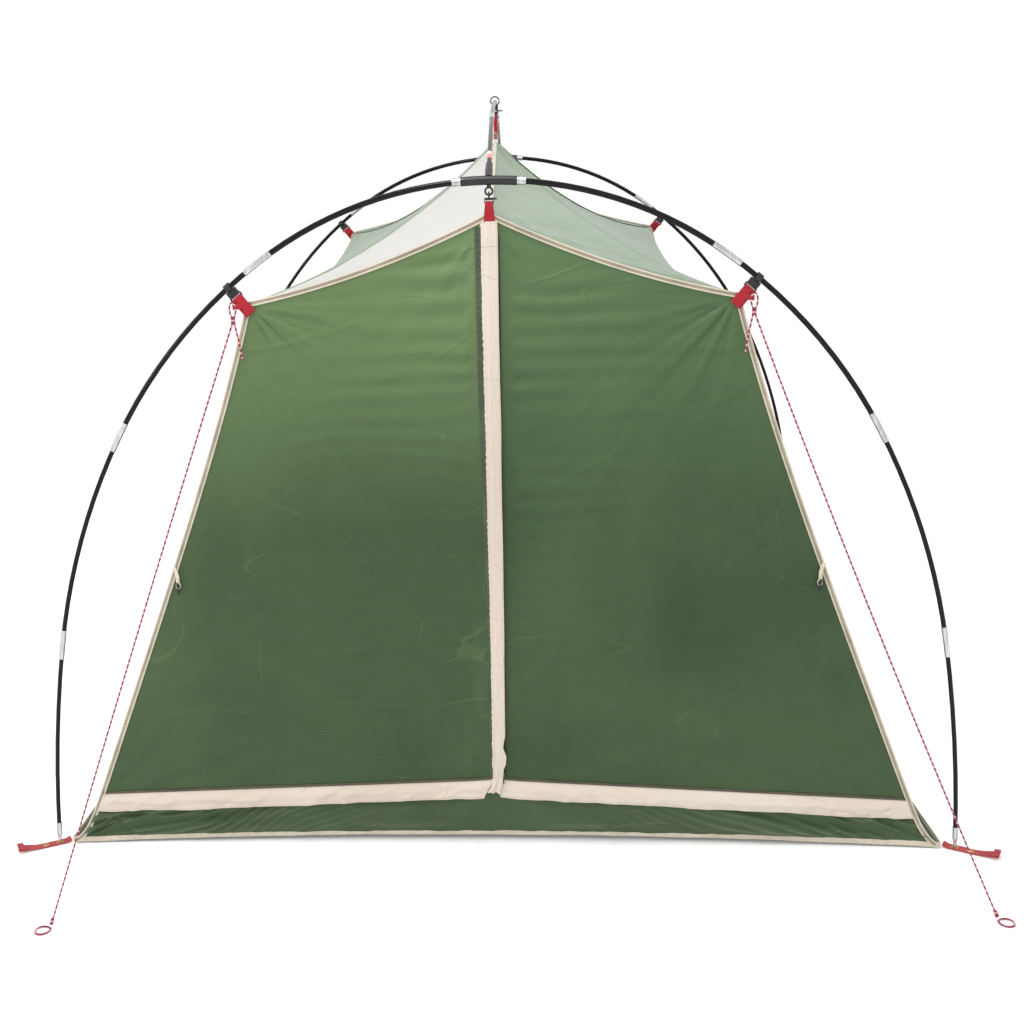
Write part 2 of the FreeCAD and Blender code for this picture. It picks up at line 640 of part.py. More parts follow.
def apex_tab():
    """Webbing folded through the apex hook's frame and sewn to the roof's front edge."""
    ring_z = HOOP_CROWN_Z - EYE_DROP - (EYE_RADIUS + EYE_HOLE_RADIUS) / 2
    half = APEX_TAB_WIDE / 2
    top = ring_z - 11.4
    gap = 4.2
    front = Part.makeBox(2 * half, WEBBING_THICK, top - (APEX_Z - 12),
                         Vector(-half, -HOOP_Y - gap - WEBBING_THICK, APEX_Z - 12))
    rear = Part.makeBox(2 * half, WEBBING_THICK, top - (APEX_Z + 6), Vector(-half, -HOOP_Y + gap, APEX_Z + 6))
    fold = Part.makeBox(2 * half, 2 * gap + 2 * WEBBING_THICK, WEBBING_THICK,
                        Vector(-half, -HOOP_Y - gap - WEBBING_THICK, top - WEBBING_THICK))
    return fuse_all([front, rear, fold])


def peak_clip():
    """Ring clip that stands up round the ridge pole's middle ferrule, with a bar below for the strap."""
    centre = RIDGE_APEX_Z + PEAK_RING_HOLE - RIDGE_FERRULE_RADIUS - 0.3
    ring = Part.makeCylinder(PEAK_RING_RADIUS, 9, Vector(0, -4.5, centre), Vector(0, 1, 0))
    frame = Part.makeBox(16, 9, 23.8, Vector(-8, -4.5, RIDGE_APEX_Z - 31))
    tail = Part.makeBox(14, 5, 3.5, Vector(7, -2.5, RIDGE_APEX_Z - 25))
    bore = Part.makeCylinder(PEAK_RING_HOLE, 14, Vector(0, -7, centre), Vector(0, 1, 0))
    mouth = Part.makeBox(8, 14, 1.2, Vector(8, -7, centre + 1))
    slot = Part.makeBox(11, 12, 6, Vector(-5.5, -6, RIDGE_APEX_Z - 27))
    return as_solid(fuse_all([ring, frame, tail]).cut([bore, mouth, slot]))


def peak_strap():
    """Strap from the peak clip's bar down to the top of the roof."""
    half = 4.6
    top = RIDGE_APEX_Z - 24.4
    low = PEAK_Z + 4
    front = Part.makeBox(2 * half, WEBBING_THICK, top - low, Vector(-half, -5.7 - WEBBING_THICK, low))
    rear = Part.makeBox(2 * half, WEBBING_THICK, top - low, Vector(-half, 5.7, low))
    fold = Part.makeBox(2 * half, 11.4 + 2 * WEBBING_THICK, WEBBING_THICK,
                        Vector(-half, -5.7 - WEBBING_THICK, top - WEBBING_THICK))
    foot = Part.makeBox(2 * half, 11.4 + 2 * WEBBING_THICK, WEBBING_THICK,
                        Vector(-half, -5.7 - WEBBING_THICK, low))
    return fuse_all([front, rear, fold, foot])


FOOT_SPOT = hoop_spot(3, SECTION_LENGTHS[3])[0]


def grommet(spot):
    """Two flanges and the tube between them, standing on the ground."""
    lower = Part.makeCylinder(GROMMET_RADIUS, 0.6, spot)
    tube = Part.makeCylinder(GROMMET_HOLE + 0.9, GROMMET_TALL, spot)
    upper = Part.makeCylinder(GROMMET_RADIUS, 0.6, spot + Vector(0, 0, GROMMET_TALL - 0.6))
    hole = Part.makeCylinder(GROMMET_HOLE, GROMMET_TALL + 2, spot - Vector(0, 0, 1))
    return fuse_all([lower, tube, upper]).cut(hole)


def foot_webbing():
    """Strip on the ground from the front right corner past the pole's tip to the peg grommet."""
    pole_spot = Vector(FOOT_SPOT.x, -HOOP_Y, 0)
    angle = -math.radians(FOOT_WEBBING_ANGLE)
    out = Vector(math.cos(angle), math.sin(angle), 0)
    across = Vector(-out.y, out.x, 0) * (FOOT_WEBBING_WIDE / 2)
    lift = Vector(0, 0, 0.65)
    inner = pole_spot - out * FOOT_WEBBING_START + lift
    outer = pole_spot + out * FOOT_WEBBING_END + lift
    corners = [inner - across, outer - across, outer + across, inner + across]
    face = Part.Face(Part.makePolygon(corners + [corners[0]]))
    strip = as_solid(face.extrude(Vector(0, 0, 1.3)))
    peg_spot = pole_spot + out * PEG_GROMMET_ALONG
    clear = GROMMET_HOLE + 0.95
    holes = [Part.makeCylinder(clear, 6, pole_spot - Vector(0, 0, 1)),
             Part.makeCylinder(clear, 6, peg_spot - Vector(0, 0, 1))]
    return strip.cut(holes), grommet(pole_spot), grommet(peg_spot)


def write_hardware():
    write("shoulder_clips", four_corners(at_clip(snap_clip())))
    tab = apex_tab()
    write("webbing_tabs", four_corners(at_clip(corner_tab())) + [tab, mirror_y(tab)])
    hook = apex_hook()
    write("apex_hooks", [hook, mirror_y(hook)])
    write("peak_clip", [peak_clip()])
    write("peak_strap", [peak_strap()])
    strip, pole_ring, peg_ring = foot_webbing()
    write("foot_webbing", four_corners(strip))
    write("foot_grommets", four_corners(pole_ring) + four_corners(peg_ring))


# ---- door ties -------------------------------------------------------------------------
TIE_SPOT = Vector(752, -WALL_Y - 9, 722)     # where the tape is sewn to the right side seam


def tie_tape():
    """Folded tape that hangs from the right side seam."""
    return Part.makeBox(12, 1.6, 34, TIE_SPOT + Vector(-12, -0.8, -34))


def toggle():
    """Short bar with a round head, hung just below the tape."""
    bar = Part.makeCylinder(3.2, 22, TIE_SPOT + Vector(-6, 0, -61.5), Vector(0, 0, 1))
    head = Part.makeSphere(4.4, TIE_SPOT + Vector(-6, 0, -39))
    return fuse_all([bar, head])


def write_ties():
    tape = tie_tape()
    write("tie_tape_right", [tape])
    write("tie_tape_left", [mirror_x(tape)])
    bar = toggle()
    write("toggle_right", [bar])
    write("toggle_left", [mirror_x(bar)])


# ---- guy lines -------------------------------------------------------------------------
def cord_tube(route, radius, name):
    """A tube along straight runs joined by tangent arcs, and a line of text about its bends."""
    points = [Vector(*point) for point in route]
    edges = []
    bends = []
    start = points[0]
    for before, corner, after in zip(points, points[1:], points[2:]):
        way_in = (corner - before).normalize()
        way_out = (after - corner).normalize()
        turn = way_in.getAngle(way_out)
        shorter = min((corner - before).Length, (after - corner).Length)
        bend = 0.45 * shorter / math.tan(turn / 2)
        cut = 0.45 * shorter
        first = corner - way_in * cut
        last = corner + way_out * cut
        inward = (way_out - way_in).normalize()
        middle = corner + inward * (bend / math.cos(turn / 2) - bend)
        edges.append(Part.LineSegment(start, first).toShape())
        edges.append(Part.Arc(first, middle, last).toShape())
        start = last
        bends.append(round(bend, 1))
    edges.append(Part.LineSegment(start, points[-1]).toShape())
    path = Part.Wire(edges)
    section = Part.Wire(Part.makeCircle(radius, points[0], points[1] - points[0]))
    tube = path.makePipeShell([section], True, False)
    expected = math.pi * radius ** 2 * path.Length
    print(name, "bend radii", bends, "length", round(path.Length, 1),
          "volume ratio", round(tube.Volume / expected, 4))
    return tube


def guy_knot():
    """The knot at the right shoulder with the bight above it, as the line is tied to the clip's webbing."""
    start = Vector(*GUY_ROUTE_RIGHT[0])
    knot = Part.makeCylinder(KNOT_RADIUS, 16, start - Vector(0, 0, 6))
    bight = Part.makeTorus(20, GUY_RADIUS, start + Vector(0, 0, 28), Vector(0, 1, 0))
    return fuse_all([knot, bight])


def peg_loop(route, side):
    """The loop at a guy line's lower end, flat on the ground, with its knot."""
    end = Vector(*route[-1])
    centre = Vector(end.x + 16 * side, end.y - 12, GUY_RADIUS + 0.2)
    ring = Part.makeTorus(PEG_LOOP_RADIUS, GUY_RADIUS, centre, Vector(0, 0, 1))
    knot = Part.makeCylinder(KNOT_RADIUS, 10, Vector(end.x, end.y, 0.4))
    return fuse_all([ring, knot])


def write_guys():
    write("guy_right", [cord_tube(GUY_ROUTE_RIGHT, GUY_RADIUS, "right guy line")])
    write("guy_left", [cord_tube(GUY_ROUTE_LEFT, GUY_RADIUS, "left guy line")])
    tail = cord_tube(GUY_TAIL_ROUTE, GUY_RADIUS, "guy tail")
    write("guy_tail_right", [tail])
    write("guy_tail_left", [mirror_x(tail)])
    knot = guy_knot()
    write("guy_knots", [knot, mirror_x(knot)])
    write("peg_loops", [peg_loop(GUY_ROUTE_RIGHT, 1), peg_loop(GUY_ROUTE_LEFT, -1)])


write_frame()
write_fabric()
write_zips()
write_hardware()
write_ties()
write_guys()
print("foot", round(FOOT_SPOT.x, 1), round(FOOT_SPOT.z, 1), "ridge half length", round(RIDGE_HALF_LENGTH, 1))
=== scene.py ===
"""Looks for the tent on poles: cloth, tapes, webbing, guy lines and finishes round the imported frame."""
import math

import bpy
import numpy as np
from mathutils import Matrix, Vector


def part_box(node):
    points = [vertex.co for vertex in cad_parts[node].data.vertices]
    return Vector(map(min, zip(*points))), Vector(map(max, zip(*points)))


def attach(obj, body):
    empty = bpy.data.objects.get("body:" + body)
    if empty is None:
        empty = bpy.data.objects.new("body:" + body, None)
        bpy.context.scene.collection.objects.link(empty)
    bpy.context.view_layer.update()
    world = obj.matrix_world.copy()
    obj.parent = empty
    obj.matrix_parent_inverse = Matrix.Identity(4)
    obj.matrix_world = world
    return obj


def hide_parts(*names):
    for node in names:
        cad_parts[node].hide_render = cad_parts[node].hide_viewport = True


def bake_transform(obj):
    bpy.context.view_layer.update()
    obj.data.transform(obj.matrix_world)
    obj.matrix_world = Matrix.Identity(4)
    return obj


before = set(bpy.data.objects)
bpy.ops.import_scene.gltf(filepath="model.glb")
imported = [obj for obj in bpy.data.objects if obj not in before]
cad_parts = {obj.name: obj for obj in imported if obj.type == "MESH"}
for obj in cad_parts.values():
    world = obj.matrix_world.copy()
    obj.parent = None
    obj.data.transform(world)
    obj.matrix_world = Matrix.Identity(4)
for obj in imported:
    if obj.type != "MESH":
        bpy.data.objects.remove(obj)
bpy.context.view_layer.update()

# ---- places taken from the frame (metres) ----------------------------------------------
WALL_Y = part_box("rear_wall")[0].y + 0.0006         # the end walls' cloth stands this far from the middle
SHOULDER_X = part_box("side_wall_right")[0].x
SHOULDER_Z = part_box("roof_right")[0].z
APEX_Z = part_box("seam_piping")[1].z
PEAK_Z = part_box("roof_right")[1].z
GROUND_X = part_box("side_wall_right")[1].x
HEM_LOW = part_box("ground_hem")[0].z
HEM_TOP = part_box("ground_hem")[1].z
FLAP_TOP_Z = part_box("storm_flap")[1].z + 0.037     # the flap runs on up to the apex webbing
FLAP_END_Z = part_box("storm_flap")[0].z
FLAP_FACE_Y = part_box("storm_flap")[0].y
RAIN_FLAP_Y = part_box("rain_flap_right")[0].y
LEFT_EDGE_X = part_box("zip_coil_left")[0].x         # where each front cloth meets the upright zip
RIGHT_EDGE_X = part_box("zip_coil_right")[1].x
FOOT_INSET = 0.00539                               # from the pole tips' outer side to the middle of a foot
FOOT_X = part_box("pole_tips")[1].x - FOOT_INSET
CLOTH_FOOT_Z = HEM_TOP - 0.006                     # the walls end at this height, behind the hem's binding

# ---- sizes of the soft parts (metres) --------------------------------------------------
CLOTH = 0.0009                        # how thick the cloth is drawn
ZIP_CENTRE_Z = 0.162                  # the bottom zip's height in the middle
ZIP_HALF = 0.0013                     # half the gap between the cloths at the bottom zip
DOOR_CORNER_X = 0.970                 # the bottom zip's outer end
ZIP_FALL = 0.052 / DOOR_CORNER_X      # it falls this much per metre sideways
SEAM_BOW = 0.033                      # inward bow of the side seams
SEAM_FLARE = 0.02                     # share of the seam's height in which it flares out at the ground
EAVE_SAG = 0.020                      # each edge of the roof hangs this much under a straight line
RIDGE_SAG = 0.024
HIP_SAG = 0.056
SIDE_EAVE_SAG = 0.054
SIDE_EAVE_PULL = 0.018                # the side eaves are drawn inwards this much
HEM_PULL = 0.035                      # each foot is drawn inwards this much between its corners
HEM_LIFT = 0.009                      # and rises this much
HEM_FADE = 0.40                       # both die away by this height up the wall
CLIP_CENTRE = Vector((0.5826, 0.0, 1.3738))    # the pole's axis at the shoulder clip
CLIP_INWARD = Vector((-0.643, 0.0, -0.766))    # from there towards the roof's corner
RIDGE_APEX = 1.770                    # the ridge pole's middle line at its highest
RIDGE_REACH = 1.045                   # half the ridge pole's span
RIDGE_RISE = 0.172                    # its height over that span
FOOT_START = 0.028                    # a foot strap starts this far inwards of its pole
FOOT_END = 0.102                      # and ends this far outwards
FOOT_WIDE = 0.025
FOOT_ANGLE = math.radians(28)         # it lies at this angle to the end wall
PEG_HOLE = 0.036                      # from the pole to the eyelet for a peg
GUY_DIAMETER = 0.004
SIDES = (("left", -1), ("right", 1))
ENDS = (("front", 1), ("rear", -1))

# ---- camera ----------------------------------------------------------------------------
CAMERA_SPOT = Vector((0.0619, -4.150, 1.7096))
CAMERA_YAW = math.radians(3.835)      # turned to the left
CAMERA_PITCH = math.radians(15.4)     # looking down
CAMERA_ROLL = math.radians(1.546)
CAMERA_SHIFT = 0.080078               # in picture widths
CAMERA_LENS = 49.22                   # millimetres


def make_camera():
    data = bpy.data.cameras.new("camera")
    data.lens = CAMERA_LENS
    data.shift_x = CAMERA_SHIFT
    camera = bpy.data.objects.new("camera", data)
    bpy.context.scene.collection.objects.link(camera)
    turn = (Matrix.Rotation(CAMERA_YAW, 4, "Z")
            @ Matrix.Rotation(math.pi / 2 - CAMERA_PITCH, 4, "X")
            @ Matrix.Rotation(-CAMERA_ROLL, 4, "Z"))
    camera.matrix_world = Matrix.Translation(CAMERA_SPOT) @ turn
    bpy.context.scene.camera = camera


# ---- noise -----------------------------------------------------------------------------
def lattice_noise(a, b, scale, seed):
    """Smooth noise from -1 to 1 over two coordinates, with features about scale across."""
    table = np.random.default_rng(seed).uniform(-1, 1, (128, 128))
    a = np.asarray(a) / scale + 1000.37
    b = np.asarray(b) / scale + 1000.71
    column, row = np.floor(a).astype(int), np.floor(b).astype(int)
    s, t = a - column, b - row
    s, t = s * s * (3 - 2 * s), t * t * (3 - 2 * t)

    def at(i, j):
        return table[(column + i) % 128, (row + j) % 128]

    low = at(0, 0) * (1 - s) + at(1, 0) * s
    high = at(0, 1) * (1 - s) + at(1, 1) * s
    return low * (1 - t) + high * t


def rise(x, start, end):
    """0 before start, 1 after end, smooth between them."""
    t = np.clip((np.asarray(x) - start) / (end - start), 0, 1)
    return t * t * (3 - 2 * t)


def creases(a, b, extent, count, seed, depth=0.0016):
    """Soft straight folding creases scattered over a cloth: a sum of narrow ridges of limited length."""
    draw = np.random.default_rng(seed)
    height = np.zeros_like(a)
    for _ in range(count):
        spot = draw.uniform(extent[0], extent[1])
        angle = draw.uniform(-0.2, 1.1) * draw.choice((-1, 1))
        length = draw.uniform(0.05, 0.22)
        width = draw.uniform(0.0035, 0.0075)
        bend = draw.uniform(-1.2, 1.2)
        strength = draw.uniform(-0.4, 1.0) * depth
        along = (a - spot[0]) * math.cos(angle) + (b - spot[1]) * math.sin(angle)
        across = (b - spot[1]) * math.cos(angle) - (a - spot[0]) * math.sin(angle) - bend * along ** 2
        height += strength * np.exp(-(across / width) ** 2 - (along / length) ** 2)
    return height


def corner_folds(a, b, corner, count, reach, depth, seed, toward=0.0, spread=3.2):
    """Tension folds that fan out of a corner and die away over reach."""
    far = np.hypot(a - corner[0], b - corner[1])
    angle = np.arctan2(b - corner[1], a - corner[0]) - toward
    angle = (angle + math.pi) % (2 * math.pi) - math.pi
    wander = lattice_noise(far * 3, angle, 0.7, seed)
    wave = np.sin(count * angle + 2.4 * wander) + 0.5 * np.sin(2.3 * count * angle + 3 * wander)
    fade = np.exp(-(far / reach) ** 1.3) * np.exp(-(angle / spread) ** 4)
    return depth * wave * rise(far, 0.0, 0.06) * fade


# ---- meshes ----------------------------------------------------------------------------
def new_object(name, vertices, faces, finish, slot):
    mesh = bpy.data.meshes.new(name)
    mesh.from_pydata([tuple(v) for v in vertices], [], [tuple(f) for f in faces])
    mesh.validate()
    mesh.polygons.foreach_set("use_smooth", [True] * len(mesh.polygons))
    mesh.materials.append(finish)
    piece = bpy.data.objects.new(name, mesh)
    bpy.context.scene.collection.objects.link(piece)
    return piece


def mirrored(points, x=1, y=1):
    return np.asarray(points, float) * np.array((x, y, 1.0))


def mirrored_piece(name, mesh, side, end, finish, slot):
    """An object from vertices and faces made for the front right, mirrored to another side or end."""
    vertices, faces = mesh
    faces = [tuple(face)[::-1] if side * end < 0 else face for face in faces]
    return new_object(name, mirrored(vertices, side, end), faces, finish, slot)


def grid_faces(rows, columns):
    corner = (np.arange(rows - 1)[:, None] * columns + np.arange(columns - 1)).ravel()
    return np.stack([corner, corner + 1, corner + columns + 1, corner + columns], 1)


def vertex_normals(points, faces):
    normals = np.zeros_like(points)
    first, second, third = (points[faces[:, i]] for i in range(3))
    base = points[faces[:, 3]] if faces.shape[1] == 4 else first
    face = np.cross(second - base, third - first)
    for corner in faces.T:
        np.add.at(normals, corner, face)
    return normals / np.maximum(np.linalg.norm(normals, axis=1, keepdims=True), 1e-12)


def cloth_shell(points, faces, thick=CLOTH):
    """A closed skin round a surface: its front, its back and the strip that joins their edges."""
    points = np.asarray(points, float).reshape(-1, 3)
    normals = vertex_normals(points, faces) * thick / 2
    count = len(points)
    following = np.roll(faces, -1, 1)
    edges = np.concatenate([np.stack([faces[:, i], following[:, i]], 1) for i in range(faces.shape[1])])
    codes = edges[:, 0] * count + edges[:, 1]
    lonely = edges[~np.isin(edges[:, 1] * count + edges[:, 0], codes)]
    rim = np.stack([lonely[:, 1], lonely[:, 0], lonely[:, 0] + count, lonely[:, 1] + count], 1)
    back = faces[:, ::-1] + count
    skin = np.concatenate([points + normals, points - normals])
    return skin, [*faces.tolist(), *back.tolist(), *rim.tolist()]


def make_cloth(name, points, faces, finish, slot, thick=CLOTH):
    return new_object(name, *cloth_shell(points, faces, thick), finish, slot)


def grid_cloth(name, points, finish, slot, thick=CLOTH):
    """A cloth from an array of points, rows by columns by 3."""
    return make_cloth(name, points, grid_faces(*points.shape[:2]), finish, slot, thick)


def mirrored_cloth(name, points, side, finish, slot):
    """A cloth from points made for the right side, mirrored to the left with its front kept outwards."""
    points = mirrored(points, side)
    return grid_cloth(name, points if side > 0 else points[:, ::-1], finish, slot)


def smooth_path(points, count):
    """Points along a smooth curve through a few given ones, for a stack of values of any width."""
    points = np.asarray(points, float)
    padded = np.concatenate([[2 * points[0] - points[1]], points, [2 * points[-1] - points[-2]]])
    place = np.linspace(0, len(points) - 1, count)
    step = np.minimum(place.astype(int), len(points) - 2)
    t = (place - step)[:, None]
    a, b, c, d = (padded[step + i] for i in range(4))
    square, cube = 2 * a - 5 * b + 4 * c - d, 3 * b - 3 * c + d - a
    return 0.5 * (2 * b + (c - a) * t + square * t ** 2 + cube * t ** 3)


def frames_along(path, side):
    """Along, side and outward directions at each point of a path, with side near a given direction."""
    along = np.gradient(path, axis=0)
    along /= np.linalg.norm(along, axis=1, keepdims=True)
    side = np.broadcast_to(np.asarray(side, float), path.shape)
    side = side - along * (side * along).sum(1, keepdims=True)
    side = side / np.linalg.norm(side, axis=1, keepdims=True)
    return along, side, np.cross(side, along)


def ring_faces(rings, size, start=0):
    """Faces of a closed bar of several rings of points, counted from start, with a cap on each end."""
    faces = []
    for i in range(rings - 1):
        low = start + i * size
        for j in range(size):
            k = (j + 1) % size
            faces.append((low + j, low + k, low + size + k, low + size + j))
    last = start + (rings - 1) * size
    faces.append(tuple(range(start, start + size))[::-1])
    faces.append(tuple(range(last, last + size)))
    return faces


def band_mesh(path, side, outline):
    """Vertices and faces of a bar that follows a path, with a closed outline of (side, outward) offsets."""
    path = np.asarray(path, float)
    outline = np.asarray(outline, float)
    _, across, out = frames_along(path, side)
    if outline.ndim == 2:
        outline = np.broadcast_to(outline, (len(path), *outline.shape))
    rings = path[:, None] + across[:, None] * outline[:, :, :1] + out[:, None] * outline[:, :, 1:]
    return rings.reshape(-1, 3), ring_faces(len(path), outline.shape[1])


def flat_outline(width, thick, columns=6, crown=0.0):
    """Outline of a flat woven strap with soft edges; crown lifts its middle."""
    across = np.linspace(-1, 1, columns)
    lift = crown * (1 - across ** 2)
    half = thick / 2 * (1 - 0.35 * np.abs(across) ** 8)
    top = np.stack([across * width / 2, lift + half], 1)
    low = np.stack([across * width / 2, lift - half], 1)
    return np.concatenate([top, low[::-1]])


def round_outline(radius, sides=10, flat=1.0):
    turn = np.arange(sides) * 2 * math.pi / sides
    return np.stack([radius * np.cos(turn), -radius * flat * np.sin(turn)], 1)


def join(parts):
    """One list of vertices and faces from several."""
    vertices, faces, offset = [], [], 0
    for points, polygons in parts:
        vertices.extend(np.asarray(points).tolist())
        faces.extend([tuple(i + offset for i in polygon) for polygon in polygons])
        offset = len(vertices)
    return vertices, faces


def band(name, path, side, outline, finish, slot):
    return new_object(name, *band_mesh(path, side, outline), finish, slot)


def stitches(path, side, offset, pitch=0.0042, length=0.0027, thick=0.00045, lift=0.0004, slant=0.0):
    """A row of sewn stitches beside a path, each a small thread end to end."""
    path = np.asarray(path, float)
    along, across, out = frames_along(path, side)
    run = np.concatenate([[0], np.cumsum(np.linalg.norm(np.diff(path, axis=0), axis=1))])
    places = np.arange(pitch / 2, run[-1] - pitch / 2, pitch)

    def read(values):
        return np.stack([np.interp(places, run, values[:, i]) for i in range(3)], 1)

    spots = read(path) + read(across) * offset + read(out) * lift
    along, across, out = read(along), read(across), read(out)
    lean = along + across * slant
    ring = [(-0.5, 0.2), (-0.3, 0.8), (0.0, 1.0), (0.3, 0.8), (0.5, 0.2)]     # place along, size
    vertices, faces = [], []
    for spot, way, wide, up in zip(spots, lean, across, out):
        faces.extend(ring_faces(len(ring), 4, len(vertices)))
        for place, size in ring:
            for turn in range(4):
                angle = math.pi / 4 + turn * math.pi / 2
                vertices.append(spot + way * length * place
                                + (wide * math.cos(angle) + up * math.sin(angle)) * thick * size)
    return vertices, faces


def stitch_pair(path, side, offset, **settings):
    """Two rows of stitches, one on each side of a path."""
    return [stitches(path, side, place, **settings) for place in (offset, -offset)]


# ---- finishes --------------------------------------------------------------------------
def colour(text):
    """A linear colour from a screen one such as 4f6645."""
    parts = [int(text[i:i + 2], 16) / 255 for i in (0, 2, 4)]
    return tuple(p / 12.92 if p <= 0.04045 else ((p + 0.055) / 1.055) ** 2.4 for p in parts) + (1.0,)


class Finish:
    """A material being built: each call adds one node, sets its values and links its inputs."""

    def __init__(self, name, **sockets):
        self.material = bpy.data.materials.new(name)
        self.material.use_nodes = True
        self.tree = self.material.node_tree
        self.shader = self.tree.nodes["Principled BSDF"]
        self.place = self.tree.nodes.new("ShaderNodeTexCoord").outputs["Object"]
        for key, value in sockets.items():
            self.shader.inputs[key.replace("_", " ").title().replace("Ior", "IOR")].default_value = value

    def node(self, kind, output=0, inputs=(), **settings):
        made = self.tree.nodes.new("ShaderNode" + kind)
        for key, value in settings.items():
            setattr(made, key, value)
        for key, value in dict(inputs).items():
            if isinstance(value, bpy.types.NodeSocket):
                self.tree.links.new(value, made.inputs[key])
            else:
                made.inputs[key].default_value = value
        return made.outputs[output]

    def set(self, socket, value):
        self.tree.links.new(value, self.shader.inputs[socket])

    def noise(self, scale, detail=3.0, distortion=0.0, stretch=(1, 1, 1), kind="FBM"):
        place = self.node("Mapping", inputs={"Vector": self.place, "Scale": stretch})
        return self.node("TexNoise", inputs={"Vector": place, "Scale": scale, "Detail": detail,
                                             "Distortion": distortion}, noise_type=kind)

    def crease_lines(self, scale, width, cover, stretch=(0.45, 0.8, 1.4)):
        """Thin bent lines where folded cloth was pressed, broken up into short arcs, 0 to 1."""
        level = self.noise(scale, 1.0, 0.0, stretch)
        away = self.math("ABSOLUTE", self.math("SUBTRACT", level, 0.5))
        shown = self.ramp(self.noise(scale * 1.7, 1.0, 0.0, (1.0, 1.0, 1.5)), cover, cover + 0.09)
        return self.math("MULTIPLY", self.ramp(away, width, 0.0), shown)

    def wave(self, period, axis, **settings):
        """Straight bands across an axis, one every period."""
        inputs = {key.replace("_", " "): value for key, value in settings.items()}
        return self.node("TexWave", output="Fac", bands_direction=axis,
                         inputs={"Vector": self.place, "Scale": math.pi / 10 / period, **inputs})

    def threads(self, period, axes="XYZ"):
        """Fine ribs across each axis, added up, 0 to 1: a woven surface whichever way it faces."""
        total = None
        for axis in axes:
            wave = self.wave(period, axis)
            total = wave if total is None else self.math("ADD", total, wave)
        return self.math("MULTIPLY", total, 1 / len(axes))

    def math(self, operation, a, b=0.0, c=0.0):
        return self.node("Math", operation=operation, inputs={0: a, 1: b, 2: c})

    def ramp(self, value, low, high, start=0.0, end=1.0):
        """value taken from low..high to start..end."""
        return self.node("MapRange", inputs={"Value": value, "From Min": low, "From Max": high,
                                             "To Min": start, "To Max": end})

    def mix(self, factor, a, b, blend="MIX"):
        return self.node("Mix", output=2, data_type="RGBA", blend_type=blend,
                         inputs={0: factor, 6: a, 7: b})

    def bump(self, height, strength, distance, under=None):
        inputs = {"Height": height, "Strength": strength, "Distance": distance}
        if under is not None:
            inputs["Normal"] = under
        return self.node("Bump", inputs=inputs)


def cloth_finish(name, dark, light, highlight_and_patch_tone, crease=0.7, thread=0.0008, fade=None):
    """Coated tent cloth: slow colour drift, folding creases that catch the light and carry painted
    highlights, a painted lighter top when fade is given, and a fine plain weave.
    """
    f = Finish(name, roughness=0.62, sheen_weight=0.25, sheen_roughness=0.45, specular_ior_level=0.35)
    base = f.mix(f.ramp(f.noise(2.3, 4.0, 0.4), 0.3, 0.7), colour(dark), colour(light))
    # Painted light: with fade the cloth turns to a lighter colour between two heights, lighter towards the
    # top.
    if fade is not None:
        height = f.node("SeparateXYZ", output="Z", inputs={"Vector": f.place})
        base = f.mix(f.ramp(height, fade[0], fade[1]), base, colour(fade[2]))
    ridges = f.ramp(f.noise(5.0, 3.0, 0.9, (1.0, 1.0, 1.6), "RIDGED_MULTIFRACTAL"), 0.35, 1.3)
    crinkle = f.ramp(f.noise(16.0, 4.0, 0.5, (0.7, 1.0, 1.7), "RIDGED_MULTIFRACTAL"), 0.5, 1.5)
    crinkle = f.math("MULTIPLY", crinkle, f.ramp(f.noise(3.1, 2.0, 0.3), 0.42, 0.62))
    lines = f.math("MAXIMUM", f.crease_lines(3.6, 0.004, 0.50, (0.5, 0.8, 1.2)),
                   f.crease_lines(8.0, 0.006, 0.53))
    patches = f.ramp(f.noise(1.5, 3.0, 0.8, (1.3, 1.0, 0.8)), 0.42, 0.66)
    weave = f.threads(thread)
    # Painted highlights: ridges, crinkle and crease lines lighten the cloth along its folds towards the
    # highlight tone; patches lighten it at random.
    for lighter_mask, strength in ((patches, 0.07), (ridges, 0.12), (crinkle, 0.16), (lines, 0.13)):
        base = f.mix(f.math("MULTIPLY", lighter_mask, strength), base, colour(highlight_and_patch_tone))
    base = f.mix(f.math("MULTIPLY", weave, 0.06), base, colour(dark), "MULTIPLY")
    f.set("Base Color", base)
    f.set("Roughness", f.ramp(f.noise(30.0, 2.0), 0.3, 0.7, 0.55, 0.70))
    soft = f.bump(crinkle, crease, 0.0030, f.bump(ridges, crease, 0.0060))
    soft = f.bump(lines, crease, 0.0022, soft)
    f.set("Normal", f.bump(weave, 0.10, 0.00015, soft))
    return f.material


def tape_finish(name, dark, light, rib=0.0012, strength=0.35, rough=0.75):
    """Woven tape or webbing: ribs with painted shade in their grooves, slightly faded and fuzzy."""
    f = Finish(name, roughness=rough, sheen_weight=0.3, sheen_roughness=0.5, specular_ior_level=0.3)
    ribs = f.threads(rib)
    drift = f.ramp(f.noise(14.0, 4.0, 0.6), 0.32, 0.68)
    base = f.mix(drift, colour(dark), colour(light))
    # Painted shade: the grooves between the ribs are darkened.
    base = f.mix(f.math("MULTIPLY", f.ramp(ribs, 0.7, 0.2), 0.30), base, colour(dark), "MULTIPLY")
    fuzz = f.noise(900.0, 2.0)
    f.set("Base Color", base)
    f.set("Roughness", f.ramp(fuzz, 0.3, 0.7, rough - 0.08, rough + 0.08))
    f.set("Normal", f.bump(ribs, strength, 0.0003, f.bump(fuzz, 0.12, 0.0002)))
    return f.material


